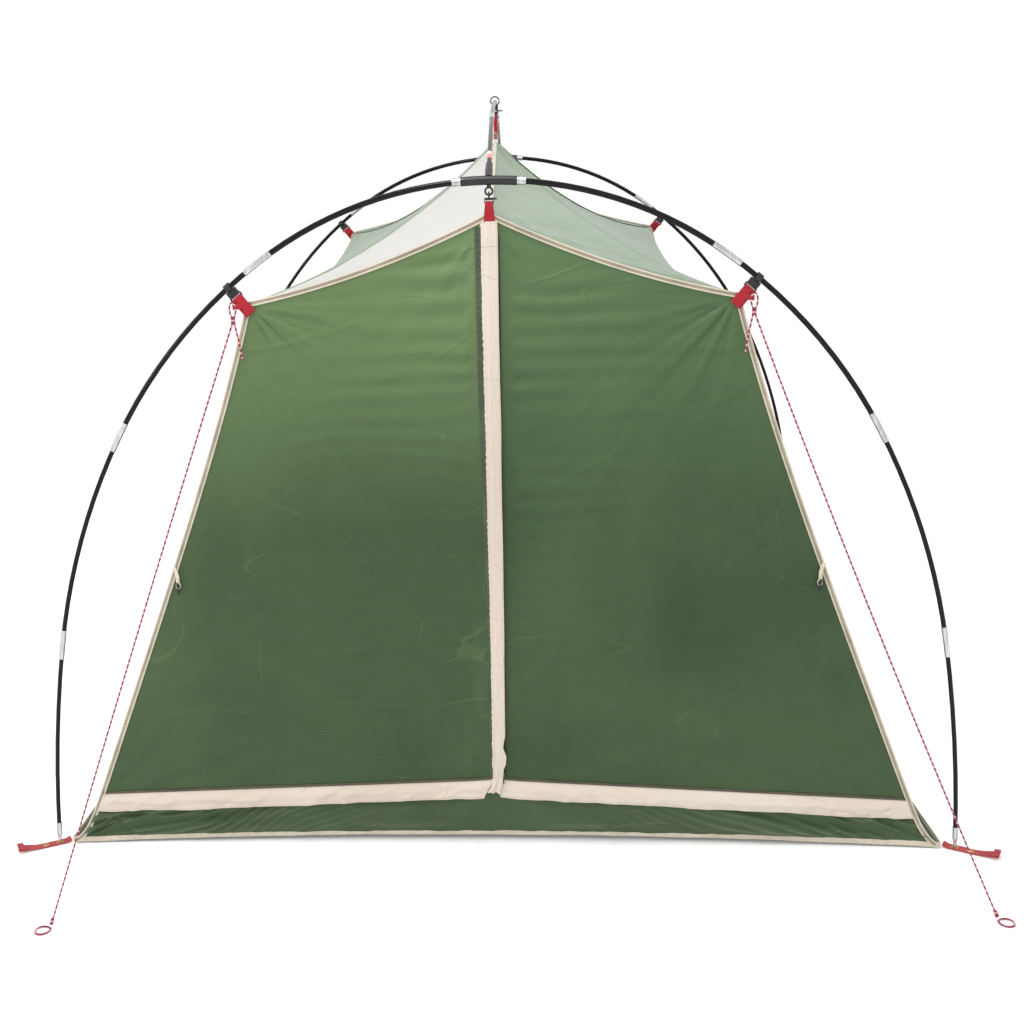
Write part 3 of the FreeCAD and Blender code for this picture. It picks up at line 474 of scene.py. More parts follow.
def pole_finish(name):
    """Black wrapped glass fibre: a faint diagonal wrap, fine scratches and a low gloss."""
    f = Finish(name, roughness=0.16, specular_ior_level=0.2)
    wrap = f.wave(0.0045, "DIAGONAL", Distortion=1.2, Detail=1.0)
    scratch = f.noise(60.0, 5.0, 0.2, (1, 1, 0.15), "RIDGED_MULTIFRACTAL")
    base = f.mix(f.math("MULTIPLY", wrap, 0.5), colour("0b0b0c"), colour("1b1b1d"))
    f.set("Base Color", f.mix(f.ramp(scratch, 1.1, 1.8, 0.0, 0.3), base, colour("3a3b3e")))
    f.set("Roughness", f.ramp(wrap, 0.0, 1.0, 0.11, 0.20))
    f.set("Normal", f.bump(wrap, 0.18, 0.0003))
    return f.material


def metal_finish(name, dark, light, rough, brush=(1, 1, 0.08)):
    """Drawn metal tube or stamped metal: brushed streaks, dull patches and small dents."""
    f = Finish(name, metallic=1.0, roughness=rough)
    streaks = f.noise(160.0, 3.0, 0.1, brush)
    patches = f.noise(22.0, 3.0, 0.5)
    base = f.mix(f.ramp(streaks, 0.3, 0.7), colour(dark), colour(light))
    f.set("Base Color", f.mix(f.ramp(patches, 0.55, 0.8, 0.0, 0.35), base, colour(dark)))
    f.set("Roughness", f.ramp(patches, 0.3, 0.75, rough - 0.07, rough + 0.13))
    f.set("Normal", f.bump(streaks, 0.16, 0.0002, f.bump(patches, 0.1, 0.0006)))
    return f.material


def plastic_finish(name, dark, light, rough=0.42):
    """Moulded plastic: fine spark-eroded grain and a slow cloudy tone."""
    f = Finish(name, roughness=rough, specular_ior_level=0.5)
    grain = f.noise(1400.0, 2.0)
    cloud = f.noise(45.0, 3.0)
    f.set("Base Color", f.mix(f.ramp(cloud, 0.35, 0.75), colour(dark), colour(light)))
    f.set("Roughness", f.ramp(cloud, 0.3, 0.7, rough - 0.06, rough + 0.1))
    f.set("Normal", f.bump(grain, 0.22, 0.0002))
    return f.material


def cord_finish(name, base_tone, fleck_tone, period):
    """Braided guy line: twisted flecks of a second colour along it, with the braid's small lumps."""
    f = Finish(name, roughness=0.7, sheen_weight=0.2, sheen_roughness=0.5)
    twist = f.wave(period, "Z", Distortion=1.6, Detail=1.0, Detail_Scale=2.0)
    braid = f.threads(0.0016)
    fleck = f.ramp(twist, 0.68, 0.78)
    mixed = f.mix(fleck, colour(base_tone), colour(fleck_tone))
    f.set("Base Color", f.mix(f.math("MULTIPLY", braid, 0.35), mixed, colour("8d4a58"), "MULTIPLY"))
    f.set("Normal", f.bump(braid, 0.5, 0.0005))
    return f.material


# The wall cloths' fades are painted light: the walls are lighter towards their top.
WALL_CLOTH = cloth_finish("wall_cloth", "2d4321", "3a4f2b", "789562", fade=(0.80, 1.60, "677f52"))
# Painted shade: a darker copy of the wall cloth for the front wall's right half, with its own painted lighter
# top.
SHADED_WALL_CLOTH = cloth_finish("shaded_wall_cloth", "283e1e", "354a27", "6d8c58",
                                 fade=(0.85, 1.62, "536e45"))
SILL_CLOTH = cloth_finish("sill_cloth", "314627", "3f5333", "678356")
SIDE_CLOTH = cloth_finish("side_cloth", "374d2f", "445a3a", "748f64")
ROOF_CLOTH = cloth_finish("roof_cloth", "788a74", "84957f", "b0bfac")
PALE_CLOTH = cloth_finish("pale_cloth", "b1afab", "bbb9b5", "d2d0cc")
FLOOR_CLOTH = cloth_finish("floor_cloth", "2f3f33", "3a4b3d", "5c6c5e", thread=0.0012)
CREAM_TAPE = tape_finish("cream_tape", "c6baa8", "d3caba")
FLAP_TAPE = cloth_finish("flap_cloth", "c4b6a7", "cfc4b7", "e8dfd2", crease=0.6, thread=0.0006)
TAUPE_TAPE = tape_finish("taupe_tape", "8f8576", "aaa08c")
BAND_TAPE = tape_finish("zip_band", "3f4b38", "525d48")
RED_TAPE = tape_finish("red_webbing", "94061a", "b00a20", rib=0.0016, strength=0.6, rough=0.6)
DARK_THREAD = tape_finish("dark_thread", "7a1420", "8d1826", rib=0.0007)
CREAM_THREAD = tape_finish("cream_thread", "c2b3a0", "d0c2b0", rib=0.0007)
SEAM_THREAD = tape_finish("seam_thread", "8b9a86", "9aa894", rib=0.0007)
DARK_SEAM = tape_finish("dark_seam_thread", "4a4438", "5c5546", rib=0.0007)
PINK_PRINT = plastic_finish("pink_print", "d96a78", "e88f98", 0.35)
GUY_CORD = cord_finish("guy_cord", "8a1232", "dda6b2", 0.012)

NODE_FINISHES = {
    "pole_fibre": pole_finish("pole_fibre_finish"),
    "steel": metal_finish("ferrule_metal", "a9abad", "d9dadb", 0.33),
    "black_plastic": plastic_finish("black_plastic_finish", "101113", "1f2023"),
    "shock_cord": tape_finish("shock_cord_finish", "1a1a1c", "2b2b2e", rib=0.0011),
    "brass": metal_finish("grommet_brass", "a5793a", "cda45c", 0.34, (1, 1, 1)),
    "zip_nylon": tape_finish("zip_nylon_finish", "3b4a39", "4d5c49", rib=0.0011, strength=0.8),
    "zip_metal": metal_finish("zip_metal_finish", "3a3b3d", "67696c", 0.4, (1, 1, 1)),
    "red_webbing": RED_TAPE,
    "dark_green_cloth": SIDE_CLOTH,
    "light_green_cloth": ROOF_CLOTH,
    "pale_cloth": PALE_CLOTH,
    "floor_cloth": FLOOR_CLOTH,
    "cream_tape": CREAM_TAPE,
    "guy_cord": GUY_CORD,
}


SHARP_ANGLE = math.radians(35)        # edges of the frame's nodes that turn more than this stay sharp


def finish_nodes():
    """Give every CAD node its finish and smooth its round faces."""
    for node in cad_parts.values():
        for place in node.material_slots:
            place.material = NODE_FINISHES[place.material.name]
        if len(node.data.polygons):
            node.data.polygons.foreach_set("use_smooth", [True] * len(node.data.polygons))
            node.data.set_sharp_from_angle(angle=SHARP_ANGLE)


# ---- guy lines -------------------------------------------------------------------------
GUY_ROUTES = {
    "right": ((0.574, -1.058, 1.302), (0.820, -1.210, 0.648), (1.096, -1.363, 0.008)),
    "left": ((-0.574, -1.058, 1.302), (-0.794, -1.245, 0.648), (-0.995, -1.432, 0.008)),
}
GUY_TAIL_ROUTE = ((0.571, -1.061, 1.297), (0.566, -1.062, 1.272), (0.561, -1.061, 1.243),
                  (0.558, -1.057, 1.212))
PEG_LOOP_SHAPE = ((0.002, -0.002), (0.012, 0.004), (0.028, 0.002), (0.034, -0.012), (0.028, -0.027),
                  (0.014, -0.030), (0.003, -0.022), (-0.001, -0.010))
BIGHT_SHAPE = ((0.0, 0.004), (0.006, 0.014), (0.0075, 0.028), (0.004, 0.041), (-0.004, 0.041),
               (-0.0075, 0.028), (-0.006, 0.014))


def cord_curve(name, routes, diameter, closed=False):
    """A curve object of smooth round cord, one spline for each route of points."""
    data = bpy.data.curves.new(name, "CURVE")
    data.dimensions = "3D"
    data.bevel_depth = diameter / 2
    data.bevel_resolution = 4
    data.use_fill_caps = not closed
    data.resolution_u = 12
    for route in routes:
        spline = data.splines.new("NURBS")
        spline.points.add(len(route) - 1)
        for point, spot in zip(spline.points, route):
            point.co = (*spot, 1.0)
        spline.order_u = 3
        spline.use_endpoint_u = not closed
        spline.use_cyclic_u = closed
    data.materials.append(GUY_CORD)
    piece = bpy.data.objects.new(name, data)
    bpy.context.scene.collection.objects.link(piece)
    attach(piece, "root")
    return piece


def wraps(centre, axis, radius, pitch, turns, side):
    """Points of a tight winding round an axis."""
    axis = Vector(axis).normalized()
    first = axis.cross(Vector((0, 1, 0))).normalized()
    second = axis.cross(first)
    points = []
    for i in range(int(turns * 8) + 1):
        turn = side * i * math.pi / 4
        points.append(Vector(centre) + axis * (pitch * i / 8)
                      + (first * math.cos(turn) + second * math.sin(turn)) * radius)
    return points


def make_peg_loop(word, side, end, up):
    """The loop at a guy line's lower end, lying on the ground, and the winding that ties it."""
    rest = GUY_DIAMETER / 2 + 0.0004
    shape = [(end.x + side * x, end.y + y, rest) for x, y in PEG_LOOP_SHAPE]
    loop = cord_curve("peg_loop_" + word, [shape], GUY_DIAMETER, closed=True)
    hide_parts("peg_loops")
    winding = wraps(end + up * 0.001 + Vector((0, 0, 0.001)), up, 0.0032, 0.0032, 4, side)
    tie = cord_curve("peg_knot_" + word, [winding], GUY_DIAMETER * 0.8)
    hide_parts("peg_loops")
    return loop, tie


def make_guy_knot(word, side, start):
    """The knot at a guy line's upper end and the bight above it, through the webbing."""
    winding = wraps(start - Vector((0, 0, 0.006)), (0, 0, 1), 0.0036, 0.0042, 3.5, side)
    knot = cord_curve("guy_knot_" + word, [winding], GUY_DIAMETER)
    shape = [(start.x + x, start.y + 0.001, start.z + z) for x, z in BIGHT_SHAPE]
    bight = cord_curve("guy_bight_" + word, [shape], GUY_DIAMETER, closed=True)
    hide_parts("guy_knots")
    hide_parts("guy_knots")
    return knot, bight


def make_guys():
    """Both guy lines with their peg loops, knots and short hanging tails."""
    for word, side in SIDES:
        route = GUY_ROUTES[word]
        guy = cord_curve("guy_line_" + word, [route], GUY_DIAMETER)
        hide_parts("guy_" + word)
        end = Vector(route[-1])
        loop, tie = make_peg_loop(word, side, end, (Vector(route[-2]) - end).normalized())
        tail_route = [tuple(mirrored(point, side)) for point in GUY_TAIL_ROUTE]
        tail = cord_curve("guy_tail_" + word + "_end", [tail_route], GUY_DIAMETER)
        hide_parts("guy_tail_" + word)
        knot, bight = make_guy_knot(word, side, Vector(route[0]))


# ---- outlines of the cloth -------------------------------------------------------------
def seam_x(z):
    """Sideways place of the side seam at a height: it bows inwards and flares out at the ground."""
    t = np.clip((np.asarray(z, float) - HEM_LOW) / (SHOULDER_Z - HEM_LOW), 0, 1)
    straight = GROUND_X + (SHOULDER_X - GROUND_X) * t
    return straight - SEAM_BOW * (1 - np.exp(-t / SEAM_FLARE)) * (1 - t ** 5)


def hem_slack(place, half):
    """How slack the foot of a wall is along its length: 0 at the corners and 1 half way between them."""
    return np.clip(1 - (np.asarray(place, float) / half) ** 2, 0, 1)


def zip_z(x):
    """Height of the bottom zip's middle line."""
    return ZIP_CENTRE_Z - ZIP_FALL * np.abs(x)


def sagging_middle(a, b, sag, pull=(0, 0, 0)):
    """Control point that makes a curve from a to b hang sag below its chord."""
    middle = (np.asarray(a, float) + np.asarray(b, float)) / 2
    return middle - np.array((0, 0, 2 * sag)) + 2 * np.asarray(pull, float)


def bent(a, middle, b, t):
    """Points of the curve from a to b with one control point."""
    t = np.asarray(t, float)[..., None]
    return (1 - t) ** 2 * np.asarray(a) + 2 * t * (1 - t) * np.asarray(middle) + t ** 2 * np.asarray(b)


PEAK = np.array((0.0, 0.0, PEAK_Z))
APEX = np.array((0.0, -WALL_Y, APEX_Z))
SHOULDER = np.array((SHOULDER_X, -WALL_Y, SHOULDER_Z))
EAVE_MIDDLE = sagging_middle(APEX, SHOULDER, EAVE_SAG)
RIDGE_MIDDLE = sagging_middle(PEAK, APEX, RIDGE_SAG)
HIP_MIDDLE = sagging_middle(PEAK, SHOULDER, HIP_SAG)
REAR_SHOULDER = mirrored(SHOULDER, 1, -1)
SIDE_EAVE_MIDDLE = sagging_middle(SHOULDER, REAR_SHOULDER, SIDE_EAVE_SAG, (-SIDE_EAVE_PULL, 0, 0))


def coons(low, high, start, end, u, v):
    """A patch filled in between four edge curves: low and high run along u, start and end along v."""
    u, v = u[None, :, None], v[:, None, None]
    ruled = low[None] * (1 - v) + high[None] * v + start[:, None] * (1 - u) + end[:, None] * u
    corners = (low[0] * (1 - u) + low[-1] * u) * (1 - v) + (high[0] * (1 - u) + high[-1] * u) * v
    return ruled - corners


def wall_points(inner_x, low_z, rows, columns, gather=1.0):
    """Half of an end wall, from its middle line to its side seam; gather packs columns near the middle."""
    u = np.linspace(0, 1, columns) ** gather
    v = np.linspace(0, 1, rows)
    corner_x = DOOR_CORNER_X
    for _ in range(5):                # the low edge meets the seam where both agree
        corner_x = seam_x(low_z(corner_x))
    x = inner_x + (corner_x - inner_x) * u
    low = np.stack([x, np.full(columns, -WALL_Y), low_z(x)], 1)
    high = bent(APEX, EAVE_MIDDLE, SHOULDER, u)
    inner = np.stack([inner_x * (1 - v ** 60), np.full(rows, -WALL_Y),
                      low[0, 2] + (APEX_Z - low[0, 2]) * v], 1)
    z = low[-1, 2] + (SHOULDER_Z - low[-1, 2]) * v
    outer = np.stack([seam_x(z), np.full(rows, -WALL_Y), z], 1)
    return coons(low, high, inner, outer, u, v), u, v


def zip_puckers(x, z, seed):
    """The small gathers of a wall beside the upright zip; none under the flap or where the slider runs."""
    beside = np.maximum(x, 0.0)
    fine = np.exp(-beside / 0.035) * np.sin(z / 0.0032 + 5 * lattice_noise(z, x, 0.05, seed + 7))
    drawn = np.exp(-beside / 0.09) * lattice_noise(z, x * 0.25, 0.022, seed + 8)
    return rise(x, 0.023, 0.040) * (0.0010 * fine + 0.0022 * drawn)


WALL_FOLDS = (                        # corner the folds fan out of, count, reach, depth, direction
    ((SHOULDER_X, SHOULDER_Z), 17, 0.30, 0.0034, -2.6),
    ((0.0, APEX_Z), 12, 0.26, 0.0026, -0.9),
    ((0.99, 0.11), 13, 0.42, 0.0034, 2.4),
    ((0.02, 0.17), 9, 0.22, 0.0016, 0.9),
)


def wall_relief(x, z, u, v, seed, puckered=1.0):
    """How far the end wall's cloth stands towards the outside, in metres."""
    folds = sum(corner_folds(x, z, corner, count, reach, depth, seed + i, toward=way, spread=1.0)
                for i, (corner, count, reach, depth, way) in enumerate(WALL_FOLDS))
    slow = 0.0045 * lattice_noise(x + 0.3 * z, z, 0.34, seed + 4)
    slow += 0.0018 * lattice_noise(x, z, 0.13, seed + 5)
    folded = creases(x, z, ((0.05, 0.2), (0.85, 1.35)), 70, seed + 6, 0.0022)
    sway = 3.4 * lattice_noise(x * 0.7, z, 0.15, seed + 10)
    patchy = 0.35 + 0.65 * rise(lattice_noise(x * 0.6, z, 0.10, seed + 11), -0.3, 0.5)
    high = np.exp(-(x / 0.34) ** 2) * rise(z, 0.60, 1.25) * patchy * np.sin(z / 0.0085 + 2.0 * x + sway)
    low = np.exp(-np.abs(x) / 0.13) * np.sin(z / 0.0075 - 9 * x + 1.6 * sway)
    strained = (0.0050 * high + 0.0022 * low) * rise(x, 0.034, 0.062)
    edge = rise(u, 0.0, 0.05) * rise(1 - u, 0.0, 0.06) * rise(v, 0.0, 0.04) * rise(1 - v, 0.0, 0.04)
    edge = edge * rise(x, 0.030, 0.058) * rise(z - 0.185 + 0.05 * np.abs(x), -0.01, 0.04)
    hemmed = 0.0012 * np.exp(-v * 14) * lattice_noise(x, z * 0.3, 0.03, seed + 9) * rise(u, 0, 0.01)
    return (folds + slow + folded + strained) * edge + puckered * zip_puckers(x, z, seed) + hemmed


def front_cloth(word, side):
    """One half of the front wall: the door leaf and the fixed cloth beside it, cut as one piece."""
    inner_x = -LEFT_EDGE_X if side < 0 else RIGHT_EDGE_X
    points, u, v = wall_points(inner_x, lambda x: zip_z(x) + ZIP_HALF, rows=380, columns=190, gather=1.3)
    x, z = points[..., 0], points[..., 2]
    points[..., 1] -= wall_relief(x, z, u[None], v[:, None], 20 + side)
    # Painted shade: the right half gets the darker copy of the wall cloth.
    finish = SHADED_WALL_CLOTH if side > 0 else WALL_CLOTH
    cloth = mirrored_cloth("front_cloth_" + word, points, side, finish, "dark_green_cloth")
    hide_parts("front_panel_" + word, "door_" + word)
    fold_to_door(cloth)


def fold_to_door(piece):
    """Bake a piece's placement into its mesh."""
    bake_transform(piece)


def front_sill():
    """The fixed band of the front wall under the bottom zip, pulled out to the two ground corners."""
    u = np.linspace(-1, 1, 521)
    v = np.linspace(0, 1, 50)
    top_x = seam_x(zip_z(0.99)) * u   # 0.99 is near enough to where the zip meets the seam
    low_x = (GROUND_X - 0.001) * u
    slack = hem_slack(low_x, GROUND_X)
    low_z = CLOTH_FOOT_Z + HEM_LIFT * slack
    top_z = zip_z(top_x) - ZIP_HALF
    x = low_x * (1 - v[:, None]) + top_x * v[:, None]
    z = low_z * (1 - v[:, None]) + top_z * v[:, None]
    inset = np.minimum(1, (1 - np.abs(u)) / 0.02)
    x = np.sign(x) * np.minimum(np.abs(x), seam_x(z))
    out = 0.0042 * lattice_noise(x + 2.4 * np.tanh(x / 0.3) * z, z * 0.6, 0.16, 61)
    out += 0.0022 * lattice_noise(x, z, 0.05, 62)
    for side in (-1, 1):
        near = np.exp(-((1.02 - side * x) / 0.46) ** 2)
        slope = 0.30 + 0.16 * lattice_noise(side * x, 0 * x, 0.3, 70 + side)
        sway = 2.6 * lattice_noise(x, z * 3, 0.17, 72 + side)
        out += 0.0036 * near * np.sin((z + slope * (side * x - 1.05)) / 0.0036 + sway)
        out += corner_folds(side * x, z, (1.05, 0.01), 25, 0.60, 0.0050, 63 + side, toward=2.95, spread=0.5)
        out += corner_folds(side * x, z, (0.98, 0.11), 9, 0.20, 0.0030, 66 + side, toward=-2.8, spread=0.8)
    out = np.maximum(1.5 * out, -0.005) + 0.003
    out = out * rise(v[:, None], 0.06, 0.30) * rise(1 - v[:, None], 0.10, 0.36) * inset[None]
    y = -WALL_Y + HEM_PULL * slack[None] * (1 - v[:, None]) - out
    points = np.stack([x, np.broadcast_to(y, x.shape), z], 2)
    sill = grid_cloth("front_sill_cloth", points, SILL_CLOTH, "dark_green_cloth")
    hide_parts("front_sill")
    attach(sill, "root")


def rear_cloth():
    """The rear wall, one cloth from seam to seam."""
    half, u, v = wall_points(0.0, lambda x: CLOTH_FOOT_Z + 0 * np.abs(x), rows=200, columns=100)
    x, z = half[..., 0], half[..., 2]
    drawn_in = hem_slack(x, GROUND_X) * (1 - rise(z, 0.0, HEM_FADE))
    edge = rise(x, 0.0, 0.16) * rise(1 - u, 0.0, 0.06)
    both = []
    for side in (-1, 1):
        relief = wall_relief(x, z, u[None] + 0.05, v[:, None], 90 + side, puckered=0.0) * edge
        points = half.copy()
        points[..., 1] += HEM_PULL * drawn_in - relief
        points[..., 2] += HEM_LIFT * drawn_in
        both.append(mirrored(points, side, -1))
    middle = (both[0][:, :1] + both[1][:, :1]) / 2
    points = np.concatenate([both[1][:, :0:-1], middle, both[0][:, 1:]], 1)
    cloth = grid_cloth("rear_cloth", points, WALL_CLOTH, "dark_green_cloth")
    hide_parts("rear_wall")
    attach(cloth, "root")


def side_cloth(word, side):
    """A side wall between the front and rear seams, hollow under its sagging eave."""
    u = np.linspace(0, 1, 190)
    v = np.linspace(0, 1, 130)
    z = CLOTH_FOOT_Z + (SHOULDER_Z - CLOTH_FOOT_Z) * v
    reach = WALL_Y - 0.002
    front = np.stack([seam_x(z), np.full_like(z, -reach), z], 1)
    rear = mirrored(front, 1, -1)
    y = reach * (2 * u - 1)
    low = np.stack([np.full_like(y, front[0, 0]), y, np.full_like(y, z[0])], 1)
    high = bent(front[-1], SIDE_EAVE_MIDDLE, rear[-1], u)
    points = coons(low, high, front, rear, u, v)
    across, up = points[..., 1], points[..., 2]
    hollow = 0.035 * np.sin(math.pi * u[None]) * np.sin(math.pi * v[:, None]) ** 0.8
    folds = 0.006 * lattice_noise(across, up, 0.36, 150 + side)
    folds += 0.002 * lattice_noise(across, up, 0.12, 152 + side)
    for end in (-1, 1):
        folds += corner_folds(across, up, (end * WALL_Y, SHOULDER_Z), 10, 0.40, 0.0050, 130 + end + side,
                              toward=-1.25 * math.pi * end, spread=1.2)
        folds += corner_folds(across, up, (end * WALL_Y, 0.0), 9, 0.35, 0.0040, 140 + end + side, spread=9)
    folds += creases(across, up, ((-0.9, 0.15), (0.9, 1.2)), 40, 154 + side)
    edge = (rise(u[None], 0, 0.05) * rise(1 - u[None], 0, 0.05) * rise(v[:, None], 0, 0.06)
            * rise(1 - v[:, None], 0, 0.05))
    drawn_in = hem_slack(across, WALL_Y) * (1 - rise(up, 0.0, HEM_FADE))
    points[..., 0] += folds * edge - hollow - HEM_PULL * drawn_in
    points[..., 2] += HEM_LIFT * drawn_in
    cloth = mirrored_cloth("side_cloth_" + word, points, side, SIDE_CLOTH, "dark_green_cloth")
    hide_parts("side_wall_" + word)
    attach(cloth, "root")


def triangle_lattice(count):
    """Corner weights of the points of a triangle cut into count rows, and its faces."""
    weights, start = [], []
    for i in range(count + 1):
        start.append(len(weights))
        for j in range(i + 1):
            weights.append(((count - i) / count, (i - j) / count, j / count))
    faces = []
    for i in range(count):
        for j in range(i + 1):
            faces.append((start[i] + j, start[i + 1] + j, start[i + 1] + j + 1))
            if j < i:
                faces.append((start[i] + j, start[i + 1] + j + 1, start[i] + j + 1))
    return np.array(weights), np.array(faces)


def gore_points(corners, middles, count):
    """A curved triangle of cloth on three sagging edges."""
    weights, faces = triangle_lattice(count)
    a, b, c = weights.T[:, :, None]
    points = (a * a * corners[0] + b * b * corners[1] + c * c * corners[2]
              + 2 * a * b * middles[0] + 2 * b * c * middles[1] + 2 * c * a * middles[2])
    return points, faces, weights


def roof_gore(word, corners, middles, finish, slot, seed):
    """One gore of the roof, with folds that fan out of its three corners towards its middle."""
    points, faces, weights = gore_points(corners, middles, 120)
    normals = vertex_normals(points, faces)
    if normals[:, 2].mean() < 0:
        faces = faces[:, ::-1]
        normals = -normals
    x, y = points[:, 0], points[:, 1]
    relief = 0.0045 * lattice_noise(x, y, 0.30, seed) + 0.0016 * lattice_noise(x, y, 0.09, seed + 1)
    for corner in corners:
        inward = np.mean(corners, 0) - corner
        way = math.atan2(inward[1], inward[0])
        relief += corner_folds(x, y, corner[:2], 11, 0.34, 0.0042, seed + 2, toward=way, spread=1.0)
    relief += creases(x, y, (points[:, :2].min(0), points[:, :2].max(0)), 26, seed + 3, 0.0018)
    relief *= rise(weights.min(1), 0.0, 0.035)
    points = points + normals * relief[:, None]
    cloth = make_cloth("roof_cloth_" + word, points, faces, finish, slot)
    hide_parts("roof_" + word)
    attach(cloth, "root")


def make_roof():
    """Two gores on each end of the roof, of which the front left one is pale, and one on each side."""
    for end_word, end in ENDS:
        for word, side in SIDES:
            corners = [mirrored(p, side, end) for p in (PEAK, APEX, SHOULDER)]
            middles = [mirrored(p, side, end) for p in (RIDGE_MIDDLE, EAVE_MIDDLE, HIP_MIDDLE)]
            pale = end > 0 and side < 0
            roof_gore(f"{end_word}_{word}", corners, middles, PALE_CLOTH if pale else ROOF_CLOTH,
                      "pale_cloth" if pale else "light_green_cloth", 200 + 10 * end + side)
    for word, side in SIDES:
        corners = [mirrored(p, side) for p in (PEAK, SHOULDER, REAR_SHOULDER)]
        rear_hip = mirrored(HIP_MIDDLE, 1, -1)
        middles = [mirrored(p, side) for p in (HIP_MIDDLE, SIDE_EAVE_MIDDLE, rear_hip)]
        roof_gore(word, corners, middles, ROOF_CLOTH, "light_green_cloth", 230 + side)


def ground_cloth():
    """The groundsheet: a coated floor with slow ripples, turned up at its edges to meet the walls."""
    spread = np.linspace(-1, 1, 130)
    spread = np.sign(spread) * (1 - (1 - np.abs(spread)) ** 1.5)
    xx, yy = np.meshgrid((GROUND_X - 0.004) * spread, (WALL_Y - 0.004) * spread)
    lift = 0.0016 + 0.0009 * lattice_noise(xx, yy, 0.2, 301)
    lift += np.abs(creases(xx, yy, ((-1, -1), (1, 1)), 30, 302))
    edge = rise(1 - np.abs(xx) / GROUND_X, 0, 0.05) * rise(1 - np.abs(yy) / WALL_Y, 0, 0.05)
    far_y, far_x = np.abs(yy / WALL_Y), np.abs(xx / GROUND_X)
    slack = np.maximum(hem_slack(xx, GROUND_X) * far_y ** 16, hem_slack(yy, WALL_Y) * far_x ** 16)
    turned_up = np.maximum(rise(far_x, 0.980, 0.995), rise(far_y, 0.980, 0.995))
    level = 0.0008 + lift * edge + 0.6 * HEM_LIFT * slack
    level += turned_up * (HEM_TOP - 0.001 + HEM_LIFT * slack - level)
    drawn_x = xx - np.sign(xx) * HEM_PULL * hem_slack(yy, WALL_Y) * far_x ** 3
    drawn_y = yy - np.sign(yy) * HEM_PULL * hem_slack(xx, GROUND_X) * far_y ** 3
    points = np.stack([drawn_x, drawn_y, level], 2)
    cloth = grid_cloth("floor_sheet", points, FLOOR_CLOTH, "floor_cloth")
    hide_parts("groundsheet")
    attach(cloth, "root")


# ---- tapes, piping and flaps -----------------------------------------------------------
def seam_line():
    """The front right seam from the shoulder down to the hem."""
    z = np.linspace(SHOULDER_Z, HEM_LOW + 0.004, 150)
    return np.stack([seam_x(z), np.full_like(z, -WALL_Y), z], 1)


def eave_line():
    """The roof's front edge from the apex to the right shoulder."""
    return bent(APEX, EAVE_MIDDLE, SHOULDER, np.linspace(0, 1, 70))


def make_piping():
    """Double piping down the side seams and along the roof's end edges: two beads and a tape between."""
    for end_word, end in ENDS:
        beads, tapes, threads = [], [], []
        for side in (-1, 1):
            for line, shift in ((seam_line(), 0.0), (eave_line(), 0.0015)):
                path = mirrored(line + np.array((0, -0.0016, shift)), side, end)
                facing = mirrored(frames_along(line, (1.0, 0.0, 0.35))[1], side, end)
                for offset in (-0.0046, 0.0046):
                    beads.append(band_mesh(path + facing * offset, (0, 1, 0), round_outline(0.0019, 8, 0.9)))
                inner = path + np.array((0, 0.0004 * end, 0))
                tapes.append(band_mesh(inner, facing, flat_outline(0.0080, 0.0012)))
                threads += stitch_pair(path, facing, 0.0028, lift=0.0007 * side * end)
        for kind, parts, finish in (("beads", beads, CREAM_TAPE), ("tape", tapes, TAUPE_TAPE),
                                    ("stitches", threads, CREAM_THREAD)):
            piece = new_object(f"piping_{kind}_{end_word}", *join(parts), finish, "cream_tape")
            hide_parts("seam_piping")
            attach(piece, "root")


def make_roof_seams():
    """Flat felled seams over the roof's ridge and hips."""
    ridges, hips, threads = [], [], []
    for end in (-1, 1):
        ridge = bent(PEAK, RIDGE_MIDDLE, APEX, np.linspace(0.015, 0.985, 80))
        hip = bent(PEAK, HIP_MIDDLE, SHOULDER, np.linspace(0.015, 0.975, 90))
        for line, side, parts in ((ridge, 1, ridges), (hip, -1, hips), (hip, 1, hips)):
            path = mirrored(line, side, end) + np.array((0, 0, 0.0014))
            along = np.gradient(path, axis=0)
            facing = np.cross(along, (0, 0, 1.0))
            facing /= np.linalg.norm(facing, axis=1, keepdims=True)
            parts.append(band_mesh(path, facing, flat_outline(0.0095, 0.0014, crown=0.0005)))
            threads += stitch_pair(path, facing, 0.0034, lift=0.0009)
    for piece in (new_object("roof_ridge_tape", *join(ridges), CREAM_TAPE, "cream_tape"),
                  new_object("roof_hip_tape", *join(hips), ROOF_CLOTH, "light_green_cloth"),
                  new_object("roof_seam_stitches", *join(threads), SEAM_THREAD, "cream_tape")):
        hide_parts("roof_seams")
        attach(piece, "root")


def make_hem():
    """Cream binding round the foot of all four walls, slightly wavy."""
    height = HEM_TOP - HEM_LOW + 0.004
    outline = flat_outline(height, 0.0018)
    corner = GROUND_X - 0.001
    run = np.linspace(-1, 1, 200)
    slack = hem_slack(run, 1.0)
    parts = []
    for end in (-1, 1):
        across, lift, along = (lattice_noise(run, run, scale, seed + end)
                               for scale, seed in ((0.03, 330), (0.11, 332), (0.03, 334)))
        z = HEM_LOW + height / 2 + 0.0012 * (1 + lift) + HEM_LIFT * slack
        y = end * (WALL_Y + 0.0015 - HEM_PULL * slack + 0.0006 * across)
        x = end * (corner + 0.0014 - HEM_PULL * slack + 0.0006 * along)
        for path in ((corner * run, y, z), (x, WALL_Y * run, z)):
            parts.append(band_mesh(np.stack(path, 1), (0, 0, 1), outline))
    hem = new_object("hem_binding", *join(parts), CREAM_TAPE, "cream_tape")
    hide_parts("ground_hem")
    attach(hem, "root")


